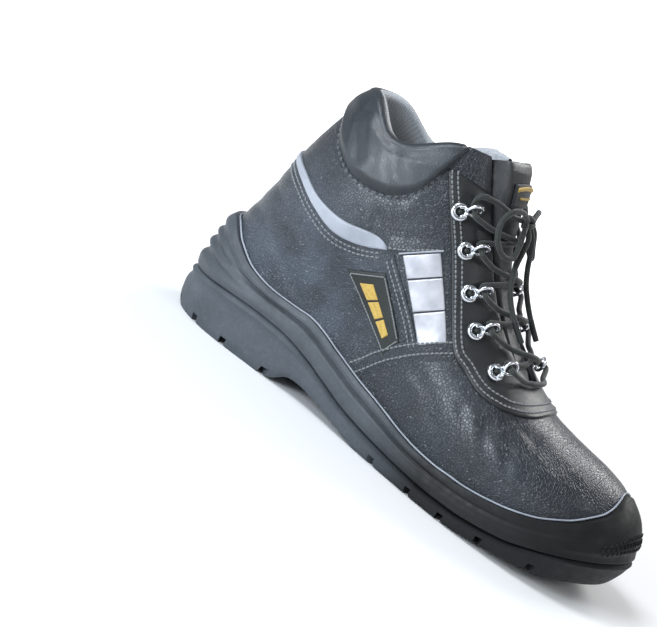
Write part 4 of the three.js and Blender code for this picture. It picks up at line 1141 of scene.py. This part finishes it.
STRIP_LOW = side_curve([(-0.05, 0.6), (0.035, 0.588), (0.1, 0.55), (0.165, 0.497), (0.23, 0.462),
                        (0.29, 0.482), (0.345, 0.535)])
STRIP_HIGH = side_curve([(-0.05, 0.622), (0.035, 0.614), (0.1, 0.585), (0.165, 0.54), (0.235, 0.527),
                         (0.3, 0.556), (0.33, 0.555), (0.345, 0.538)])
a_strip = np.linspace(*ends_at(0.344, 0.536), 200)
strip = sheet_between(
    "ankle_piping",
    np.stack([around(STRIP_LOW, a_strip), a_strip], -1),
    np.stack([around(STRIP_HIGH, a_strip), a_strip], -1),
    TRIM_THICK + 0.2, GREY_TRIM, "ankle_strip", 8, 0.08)


EDGE_STEP = 1.6


def lap(name, shares, wide, thick):
    """The cut edge of a panel that lies over its neighbour: full at the line, thinning to nothing."""
    places = np.array([0, 0, 0.12, 0.4, 0.9, 0.3 * wide, 0.6 * wide, wide])
    heights = thick * np.array([-0.3, 0.5, 0.85, 1.0, 1.0, 0.8, 0.4, -0.12])
    parts = []
    for side in (-1, 1):
        rows = [xz_line(shares, EDGE_STEP, side, shift) for shift in places]
        count = min(len(r) for r in rows)
        grid = np.stack([even(signed(r), count) for r in rows])
        points = on_face(grid[..., 0], grid[..., 1], heights[:, None])
        parts.append((points.reshape(-1, 3), grid_faces(len(places), count, flip=side > 0).tolist()))
    make_mesh(name, *join(parts), LEATHER)


VAMP_EDGE = [
    (0.385, 0.03),
    (0.41, 0.1),
    (0.432, 0.17),
    (0.462, 0.243),
    (0.493, 0.305),
    (0.525, 0.358),
    (0.552, 0.398),
]
QUARTER_EDGE = [
    (0.362, 0.535),
    (0.383, 0.495),
    (0.41, 0.45),
    (0.436, 0.405),
    (0.462, 0.36),
    (0.485, 0.315),
    (0.5, 0.285),
]
ANKLE_EDGE = [(0.345, 0.535), (0.362, 0.552), (0.385, 0.58), (0.412, 0.62), (0.436, 0.655)]
lap("vamp_edge", VAMP_EDGE, 13, 1.0)
lap("quarter_edge", QUARTER_EDGE, 11, 0.9)
lap("ankle_edge", ANKLE_EDGE[::-1], 9, 0.8)

vamp_rows, quarter_rows = [], []
for side in (-1, 1):
    vamp_rows.append((xz_line(VAMP_EDGE, EDGE_STEP, side, 1.9)[3:], 0.95))
    vamp_rows.append((xz_line(VAMP_EDGE, EDGE_STEP, side, 7.6)[2:], 0.35))
    quarter_rows.append((xz_line(QUARTER_EDGE, EDGE_STEP, side, 1.8)[1:], 0.9))
    quarter_rows.append((xz_line(QUARTER_EDGE, EDGE_STEP, side, 4.8)[1:], 0.65))
    quarter_rows.append((xz_line(ANKLE_EDGE, EDGE_STEP, side, -1.5), 0.8))
stitch_rows("vamp_stitches", vamp_rows, THREAD, 2.6, 1.8, 0.55)
stitch_rows("quarter_stitches", quarter_rows, THREAD, 2.6, 1.7, 0.5)

# Stitches under the piping and round the padded collar
ankle_rows = []
for drop in (2.6, 5.4):
    below = around(lambda x: STRIP_LOW(x) - drop / UPPER_HEIGHT, a_strip)
    ankle_rows.append((np.stack([below, a_strip], -1)[4:-4], 0.05))
stitch_rows("ankle_stitches", ankle_rows, THREAD, 2.8, 1.8, 0.52)
a_pad = np.linspace(*ends_at(0.345, 0.92), 240)
pad_course = around(lambda x: lookup(PAD_LINE, "z", x), a_pad)
stitch_rows("collar_stitches", [(np.stack([pad_course, a_pad], -1), 0.15)], DARK_THREAD, 4.3, 2.5, 0.8)


# Patches: four corners of the side view
def quad_sheet(corners, thick, side=-1, cells=8, share=0.03, lift=0.1):
    """A sheet with rounded edges between four corners of the side view."""
    corners = np.array([(upper_x(x), upper_z(z)) for x, z in corners])
    u, rise_u = edge_profile(cells, share)
    v, rise_v = edge_profile(cells, share)
    low = mix(corners[0], corners[3], u[:, None])
    high = mix(corners[1], corners[2], u[:, None])
    xz = mix(low[None], high[None], v[:, None, None])
    t, a = course_at(xz[..., 0], xz[..., 1], side)
    height = np.minimum(rise_v[:, None], rise_u[None])
    points = on_face(t, a, lift + thick * height)
    return points.reshape(-1, 3), grid_faces(*t.shape, flip=side > 0).tolist()


PATCH = [(0.376, 0.555), (0.432, 0.648), (0.542, 0.365), (0.5, 0.29)]


def band(corners, low, high):
    """Part of a four-cornered outline between two shares of its length."""
    a, b, c, d = (np.array(p) for p in corners)
    return [mix(a, d, low), mix(b, c, low), mix(b, c, high), mix(a, d, high)]


for name, side in (("outer", -1), ("inner", 1)):
    parts = [quad_sheet(band(PATCH, low, high), TRIM_THICK, side)
             for low, high in ((0.0, 0.262), (0.278, 0.632), (0.648, 1.0))]
    patch = make_mesh(f"reflective_panel_{name}", *join(parts), REFLECTIVE, f"reflective_patch_{name}")

top_edge = []
for side in (-1, 1):
    line = signed(xz_line([(0.368, 0.552), (0.4, 0.605), (0.434, 0.662)], 1.2, side))
    top_edge.append(tube(on_face(line[:, 0], line[:, 1], np.full(len(line), 1.1)), 0.55, 8))
make_mesh("patch_top_edge", *join(top_edge), GREY_TRIM)

BADGE_CORNERS = [(0.294, 0.368), (0.367, 0.452), (0.468, 0.247), (0.452, 0.165)]
badge = make_mesh("badge_plate", *quad_sheet(BADGE_CORNERS, 1.0, cells=10), BADGE, "side_badge")


def inset(corners, share):
    centre = np.mean(np.array(corners), axis=0)
    return [mix(np.array(c), centre, share) for c in corners]


border = inset(BADGE_CORNERS, 0.1)
border_rows = []
for a, b in zip(border, [*border[1:], border[0]]):
    border_rows.append((xz_line([a, mix(a, b, 0.5), b], 1.2, -1), 1.05))
stitch_rows("badge_border", border_rows, THREAD, 1.7, 1.5, 0.42)
low_left, high_left, high_right, low_right = band(inset(BADGE_CORNERS, 0.3), 0.02, 0.98)
left = [mix(low_left, high_left, share) for share in (0.12, 0.62)]
right = [mix(low_right, high_right, share) for share in (0.62, 0.12)]
parts = [quad_sheet(band([*left, *right], low, high), 0.7, cells=5, share=0.06, lift=1.0)
         for low, high in ((0.0, 0.3), (0.34, 0.64), (0.68, 0.98))]
make_mesh("badge_bars", *join(parts), GOLD)


# Sole
def sole_x(share):
    return SOLE_LENGTH * share


def tread_z(x):
    share = np.clip(x / SOLE_LENGTH, 0, 1)
    return (ARCH_LIFT * np.maximum(0, lookup(SOLE_LINES, "tread", share))
            + TOE_SPRING * np.maximum(0, lookup(SOLE_LINES, "spring", share)))


def parting_z(x):
    return PARTING_HEIGHT * lookup(SOLE_LINES, "parting", x / SOLE_LENGTH)


def sole_half(x, side):
    share = x / SOLE_LENGTH
    plan = np.where(side < 0, lookup(SOLE_PLAN, "outer", share), lookup(SOLE_PLAN, "inner", share))
    toe = np.clip((share - TOE_FROM) / (1 - TOE_FROM), 0, 1) ** 2.8
    heel = np.clip(1 - x / (SOLE_HEEL_HALF * 1.25), 0, 1) ** 2.4
    return SOLE_BALL_HALF * plan * np.sqrt(np.maximum(0, 1 - toe)) * np.sqrt(np.maximum(0, 1 - heel))


def sole_edge(a):
    x = sole_x((1 + np.cos(a)) / 2)
    side = np.where(a <= math.pi, -1.0, 1.0)
    half = np.where(np.abs(np.sin(a)) < 1e-9, 0, sole_half(x, side))
    return np.stack([x, swing(x) + side * half, 0 * x], -1)


BACK_T = np.linspace(0, TOP_COURSE, 2000)
BACK_Z = course("backZ", BACK_T)


def rim_edge(a):
    """The upper's outer face at the height of the sole's rim, at angles a."""
    z = SOLE_RIM_HEIGHT * lookup(SOLE_LINES, "rim", sole_edge(a)[:, 0] / SOLE_LENGTH)
    back = course("backX", np.interp(z, BACK_Z, BACK_T))
    front = np.where(z > WIDE_Z, np.interp(z, RIDGE_Z, RIDGE_X), TIP_X)
    x = mix(back, front, (1 + np.cos(a)) / 2)
    side = np.where(a <= math.pi, -1.0, 1.0)
    half = np.where(np.abs(np.sin(a)) < 1e-9, 0, upper_half(x, z, side, back, TIP_X))
    return np.stack([x, swing(x) + side * half, z], -1)


def swollen(points, out):
    run = np.roll(points, -1, 0) - np.roll(points, 1, 0)
    away = unit(np.stack([-run[:, 1], run[:, 0], 0 * run[:, 0]], -1))
    return points + away * np.broadcast_to(out, len(points))[:, None]


def foot_z(x):
    back, front = float(course("backX", 0)), float(course("frontX", 0))
    q = np.clip((x - back) / (front - back), 0.001, 0.999)
    level = mix(float(course("backZ", 0)), float(course("frontZ", 0)), q)
    return level - COURSES["dip"][0] * UPPER_HEIGHT * dip_shape(q, 0.68, 5)


def wall_swell(table, k, x, fades):
    share = x / SOLE_LENGTH
    side = along(table["side"], k) * (1 - 0.85 * smooth(0.5, 0.72, share) if fades else 1)
    back = mix(along(table["heel"], k), side, smooth(0.04, 0.16, share))
    return mix(back, along(table["toe"], k), smooth(0.88, 0.985, share))


AROUND = 420
TURNS = np.linspace(0, 2 * math.pi, AROUND, endpoint=False)
BASE = sole_edge(TURNS)
RIM = swollen(rim_edge(TURNS), RIM_THICKNESS)


def lofted(rows):
    """Closed mesh through rings, with its first and last ring filled by strips across."""
    rows = np.asarray(rows)
    n = rows.shape[1]
    faces = grid_faces(len(rows), n, close_cols=True).tolist()
    for base, flip in ((0, True), ((len(rows) - 1) * n, False)):
        for i in range(n // 2):
            face = [base + i, base + i + 1, base + (n - i - 1) % n, base + (n - i) % n]
            face = list(dict.fromkeys(face))
            faces.append(face[::-1] if flip else face)
    return rows.reshape(-1, 3), faces


def ring_at(points, z):
    return np.column_stack([points[:, :2], z])


def core_z(x):
    """Height of the parting in the middle of the sole."""
    return np.minimum(parting_z(x), foot_z(x) - MIDSOLE_FLOOR)


def wall_row(base, rim, k):
    """The midsole's wall at row k, before its swell, between the sole's outline and the rim."""
    lean, rise = along(MIDSOLE_WALL["lean"], k), along(MIDSOLE_WALL["rise"], k)
    z = mix(parting_z(base[:, 0]), rim[:, 2], rise)
    return np.column_stack([mix(base[:, :2], rim[:, :2], lean), z])


def build_midsole():
    x = BASE[:, 0]
    rows = [ring_at(swollen(BASE, -10), core_z(x) + GAP)]
    rows.append(ring_at(swollen(BASE, -PARTING_INSET), parting_z(x) + GAP))
    for k in np.linspace(0, 8, 57):
        rows.append(swollen(wall_row(BASE, RIM, k), wall_swell(MIDSOLE_WALL, k, x, True)))
    edge = rim_edge(TURNS)
    for inset_by, drop in ((0.75, -0.2), (0.4, -0.5), (0.0, -1.1), (-0.9, -3.0)):
        rows.append(swollen(edge, RIM_THICKNESS * inset_by if inset_by > 0 else inset_by) + [0, 0, drop])
    rows.append(upper_out(np.full(AROUND, 0.15), TURNS, -1.2))
    under = upper_out(np.full(AROUND, 0.05), TURNS, -2.0)
    rows.append(ring_at(under, foot_z(under[:, 0]) - 0.4))
    piece = make_mesh("midsole_body", *lofted(rows), MIDSOLE, "midsole")
    merge(piece, WELD_FINE)


CUT_FROM = -12.0


def cutter(left, right, depth):
    """Upright prism over the strip between two plan lines, its top a depth over the tread."""
    n = len(left)
    plan = np.concatenate([left, right[::-1]])
    top = tread_z(plan[:, 0]) + depth
    m = len(plan)
    points = np.concatenate([np.column_stack([plan, z]) for z in (np.full(m, CUT_FROM), top)])
    faces = [[k, (k + 1) % m, m + (k + 1) % m, m + k] for k in range(m)]
    for k in range(n - 1):
        low = [k, m - 1 - k, m - 2 - k, k + 1]
        faces.append(low)
        faces.append([v + m for v in low[::-1]])
    return points, faces


GROOVE = 3.4
TREAD_BARS = columns("x from to first last count width deep", [
    [BALL_TREAD_AT, 0.34, 0.62, 0, 320, 9, 1.0, 1.0],
    [BALL_TREAD_AT, 0.72, 1.5, 40, 320, 13, 1.1, 1.0],
    [HEEL_TREAD_AT, 0.3, 1.5, 45, 315, 9, 1.2, 1.0],
    [BALL_TREAD_AT, 0.76, 0.9, 172, 188, 2, 0.6, 0.5],
    [0.4, 0.22, 0.36, 100, 260, 5, 0.5, 0.4],
])
TREAD_ARCS = columns("x radius squash first last width deep", [
    [BALL_TREAD_AT, 0.13, 0.7, 0, 360, 0.7, 1.0],
    [BALL_TREAD_AT, 0.31, 0.78, 0, 360, 0.9, 1.0],
    [BALL_TREAD_AT, 0.66, 0.86, 0, 360, 1.0, 1.0],
    [BALL_TREAD_AT, 0.98, 0.8, -38, 38, 1.0, 1.0],
    [BALL_TREAD_AT, 1.14, 0.76, -36, 36, 0.8, 1.0],
    [BALL_TREAD_AT, 1.28, 0.72, -33, 33, 0.8, 1.0],
    [HEEL_TREAD_AT, 0.27, 0.9, 0, 360, 1.0, 1.0],
    [0.4, 0.16, 1.0, 0, 360, 0.6, 0.5],
])


def polar(share, radius, degrees, squash=1.0):
    turn = np.radians(degrees)
    x = sole_x(share)
    return np.stack([x + radius * np.cos(turn), swing(x) + radius * squash * np.sin(turn)], -1)


def tread_cutters():
    cuts = []
    for x, start, end, first, last, count, width, deep in zip(*TREAD_BARS.values()):
        for degrees in np.linspace(first, last, int(count)):
            radius = np.linspace(start, end, 10) * SOLE_BALL_HALF
            line = polar(x, radius, degrees)
            turn = math.radians(degrees)
            half = np.array([-math.sin(turn), math.cos(turn)]) * GROOVE * width / 2
            cuts.append(cutter(line + half, line - half, TREAD_DEPTH * deep))
    for x, radius, squash, first, last, width, deep in zip(*TREAD_ARCS.values()):
        wide = GROOVE * width / 2
        whole = last - first == 360
        ranges = [(0, 181), (179, 360)] if whole else [(first, last)]
        for low, high in ranges:
            turns = np.linspace(low, high, 28)
            near = polar(x, SOLE_BALL_HALF * radius - wide, turns, squash)
            far = polar(x, SOLE_BALL_HALF * radius + wide, turns, squash)
            cuts.append(cutter(far, near, TREAD_DEPTH * deep))
    return cuts


def build_outsole():
    x = BASE[:, 0]
    rows = []
    for k in np.linspace(0, 4, 21):
        rise = along(OUTSOLE_WALL["rise"], k)
        row = ring_at(BASE, mix(tread_z(x), parting_z(x), rise))
        rows.append(swollen(row, wall_swell(OUTSOLE_WALL, k, x, False)))
    rows += [ring_at(swollen(BASE, -PARTING_INSET), parting_z(x)), ring_at(swollen(BASE, -10), core_z(x))]
    piece = make_mesh("outsole_body", *lofted(rows), OUTSOLE, "outsole")
    merge(piece, WELD_FINE)
    made = []
    for points, faces in tread_cutters():
        tool = bpy.data.meshes.new("cut")
        tool.from_pydata(to_metres(points).tolist(), [], faces)
        cut = bpy.data.objects.new("cut", tool)
        bpy.context.scene.collection.objects.link(cut)
        merge(cut, WELD_FINE)
        modifier = piece.modifiers.new("cut", "BOOLEAN")
        modifier.operation, modifier.solver, modifier.object = "DIFFERENCE", "MANIFOLD", cut
        made.append(cut)
    bpy.context.view_layer.update()
    cut_mesh = bpy.data.meshes.new_from_object(piece.evaluated_get(bpy.context.evaluated_depsgraph_get()))
    piece.modifiers.clear()
    piece.data = cut_mesh
    cut_mesh.polygons.foreach_set("use_smooth", np.full(len(cut_mesh.polygons), True))
    cut_mesh.set_sharp_from_angle(angle=math.radians(34))
    for cut in made:
        bpy.data.meshes.remove(cut.data)


build_midsole()
build_outsole()


# Sole details
KNURL_OUT = 0.1


def wall_point(k, turn):
    """A point just off the midsole's wall, at row k and an angle near the toe."""
    a = np.array([turn % (2 * math.pi)])
    base = sole_edge(a)
    rim = np.column_stack([np.interp(a, TURNS, RIM[:, i], period=2 * math.pi) for i in range(3)])
    row = wall_row(base, rim, k)
    away = np.column_stack([row[:, 0] - SOLE_LENGTH * 0.86, row[:, 1] - swing(row[:, 0]), 0 * a])
    return row + unit(away) * (wall_swell(MIDSOLE_WALL, k, base[:, 0], True) + KNURL_OUT)[:, None]


def build_knurls():
    """Short raised bars in rows across the front of the toe bumper."""
    parts = []
    for row, k in enumerate((1.6, 2.5, 3.4)):
        for turn in np.linspace(-0.36, 0.36, 22) + 0.012 * (row % 2):
            ends = np.vstack([wall_point(k + dk, turn) for dk in (-0.28, 0.0, 0.28)])
            parts.append(tube(resample(ends, 0.8), 0.75, 6))
    make_mesh("bumper_knurls", *join(parts), MIDSOLE)


build_knurls()
# the bead along the rim is real; its light grey colour is a painted highlight along the rim
rim_highlight_bead = tube(swollen(rim_edge(TURNS), 0.75) + [0, 0, 0.15], 0.6, 8, closed=True)
make_mesh("feather_bead_painted_highlight", *rim_highlight_bead, GREY_TRIM)

INSOLE_THICK = 4.0


def build_insole():
    line = upper_out(np.full(AROUND, 0.5), TURNS, -(WALL + 2 * GAP))
    low = foot_z(line[:, 0]) + GAP
    edge = ((0.0, 0.0), (0.0, INSOLE_THICK - 1.2), (-0.5, INSOLE_THICK - 0.3), (-1.6, INSOLE_THICK))
    rows = [ring_at(swollen(line, out), low + up) for out, up in edge]
    make_mesh("footbed", *lofted(rows), LINING, "insole")


build_insole()

# Lace rings: a dished plate riveted to the facing, two prongs and the tilted wire loop
PLATE_PROFILE = [
    (0.0, 0.75), (1.1, 0.7), (2.0, 0.95), (2.9, 1.75), (3.7, 2.0), (4.5, 1.85),
    (5.0, 1.2), (5.2, 0.55), (5.1, 0.05), (4.8, 0.0), (0.0, 0.0),
]
STUD_PROFILE = [(0.0, 2.6), (0.7, 2.5), (1.2, 2.1), (1.45, 1.4), (1.5, 0.4)]
DISH_PROFILE = [(0.0, 0.85), (1.3, 0.8), (2.1, 1.05), (2.7, 1.7)]


def lathe(base, out, up, front, profile, sides=40):
    turn = np.linspace(0, 2 * math.pi, sides, endpoint=False)[None, :, None]
    r, h = (np.array(profile)[:, i][:, None, None] for i in (0, 1))
    points = base + (up * np.cos(turn) + front * np.sin(turn)) * r + out * h
    return points.reshape(-1, 3), grid_faces(len(profile), sides, close_cols=True).tolist()


def build_ring(k, side, name):
    place = ring_frame(k, side)
    base, out, up, front = place
    lean = up * math.cos(LOOP_TILT) + out * math.sin(LOOP_TILT)
    middle = loop_middle(base, out, front)
    turn = np.linspace(0, 2 * math.pi, 44, endpoint=False)[:, None]
    wire = middle + front * RING_HALF * 1.1 * np.cos(turn) + lean * RING_HALF * np.sin(turn)
    parts = [lathe(*place, PLATE_PROFILE), tube(wire, RING_WIRE_RADIUS, 12, closed=True)]
    hold = middle - front * RING_HALF * 1.1
    for way in (-1, 1):
        prong = [
            base + up * 2.4 * way + out * 1.3,
            base + up * 2.3 * way + front * 3.2 + out * 1.5,
            base + up * 1.7 * way + front * 3.6 + out * (LOOP_RISE * 0.62),
            hold + up * 0.9 * way + front * 0.3,
        ]
        parts.append(tube(resample(prong, 0.5), RING_WIRE_RADIUS, 10))
    piece = make_mesh(f"ring_{name}_{k + 1}", *join(parts), STEEL, f"lace_ring_{name}_{k + 1}")
    inner = join([lathe(*place, DISH_PROFILE), lathe(*place, STUD_PROFILE, 20)])
    make_mesh(f"rivet_{name}_{k + 1}", *inner, BADGE)


for name, side in (("outer", -1), ("inner", 1)):
    for k in range(len(RINGS["x"])):
        build_ring(k, side, name)


# Tongue and its label
TONGUE_CLEAR, TONGUE_TOP = 0.75, 14.05
TONGUE_NARROWS, TONGUE_BOW, TONGUE_SWELL = 7.0, 0.22, 0.5


def tongue_at(t, y, depth):
    """Points of the tongue: proud between the facings, and behind the upper where it passes under them."""
    slot = np.maximum(slot_half(t), 7)
    a = angle_across(t, y)
    behind = -(WALL + COLLAR_PAD * pad_share(t, np.abs(a)) + TONGUE_CLEAR)
    front = mix(tongue_row("lift", t), behind, smooth(slot - 3.8, slot - 1.1, np.abs(y)))
    return upper_out(t, a, front - depth)


def build_tongue():
    rows = np.concatenate([np.linspace(7.5, 13.2, 60), np.linspace(13.25, TONGUE_TOP, 22)])
    across = np.linspace(-1, 1, 61)
    points = []
    for t in rows:
        top = smooth(13.35, TONGUE_TOP, t)
        half = tongue_row("half", t) - TONGUE_NARROWS * top ** 2
        thick = float(tongue_row("thick", t))
        y = across * half
        full = np.sqrt(np.maximum(0, 1 - np.abs(across) ** 14))
        place = t - TONGUE_BOW * top * np.abs(across) ** 4
        swell = TONGUE_SWELL * np.sin(np.clip((t - 12.0) / 1.7, 0, 1) * math.pi) * np.cos(across * math.pi / 2)
        ends = (1 - full) * thick / 2
        front = tongue_at(place, y, ends - swell)
        back = tongue_at(place, y, thick - ends)
        points.append(np.concatenate([front, back[::-1]]))
    grid = np.array(points)
    ring = grid.shape[1]
    faces = grid_faces(len(rows), ring, close_cols=True, flip=True).tolist()
    last = (len(rows) - 1) * ring
    for base, flip in ((0, False), (last, True)):
        for i in range(len(across) - 1):
            face = [base + i, base + i + 1, base + ring - 2 - i, base + ring - 1 - i]
            faces.append(face[::-1] if flip else face)
    piece = make_mesh("tongue_pad", grid.reshape(-1, 3), faces, TONGUE_LEATHER, "tongue")
    merge(piece, WELD_FINE)
    sides = []
    for edge in (0, len(across) - 1):
        line = resample(grid[40:-4, edge], 1.0)
        sides.append(tube(line, 1.0, 8))
    make_mesh("tongue_piping", *join(sides), GREY_TRIM)


LABEL_FROM, LABEL_TO, LABEL_HALF, ARC_HALF, BAR_HALF = 12.86, 13.42, 10.9, 9.4, 6.5


def on_tongue(t, y, out):
    return upper_out(t, angle_across(t, y), tongue_row("lift", t) + GAP + 0.4 + out)


def build_label():
    """The woven label: a thin plate with a bowed top edge, a double gold arc and a short gold bar."""
    u, y = np.linspace(0, 1, 26)[:, None], np.linspace(-1, 1, 41)[None]
    edge = np.minimum(1, u * 12) * np.minimum(1, (1 - u) * 12) * np.minimum(1, (1 - np.abs(y)) * 14)
    t = mix(LABEL_FROM, LABEL_TO, u)
    t = t + 0.05 * (1 - y**2) * smooth(13.1, LABEL_TO, t)
    points = on_tongue(t, y * LABEL_HALF + 0 * t, 1.1 * np.sqrt(edge) + 0.1)
    faces = grid_faces(*t.shape, flip=True)
    piece = make_mesh("woven_label", points.reshape(-1, 3), faces, LABEL, "tongue_label")
    y = np.linspace(-ARC_HALF, ARC_HALF, 40)
    arc = on_tongue(13.31 + 0.07 * (1 - (y / ARC_HALF) ** 2), y, 1.45)
    bar = on_tongue(np.full(24, 13.12), np.linspace(-BAR_HALF, BAR_HALF, 24), 1.4)
    parts = [tube(arc, 0.85, 8), tube(arc - [0, 0, 1.1], 0.7, 8), tube(bar, 0.7, 8)]
    make_mesh("label_threads", *join(parts), GOLD)


build_tongue()
build_label()
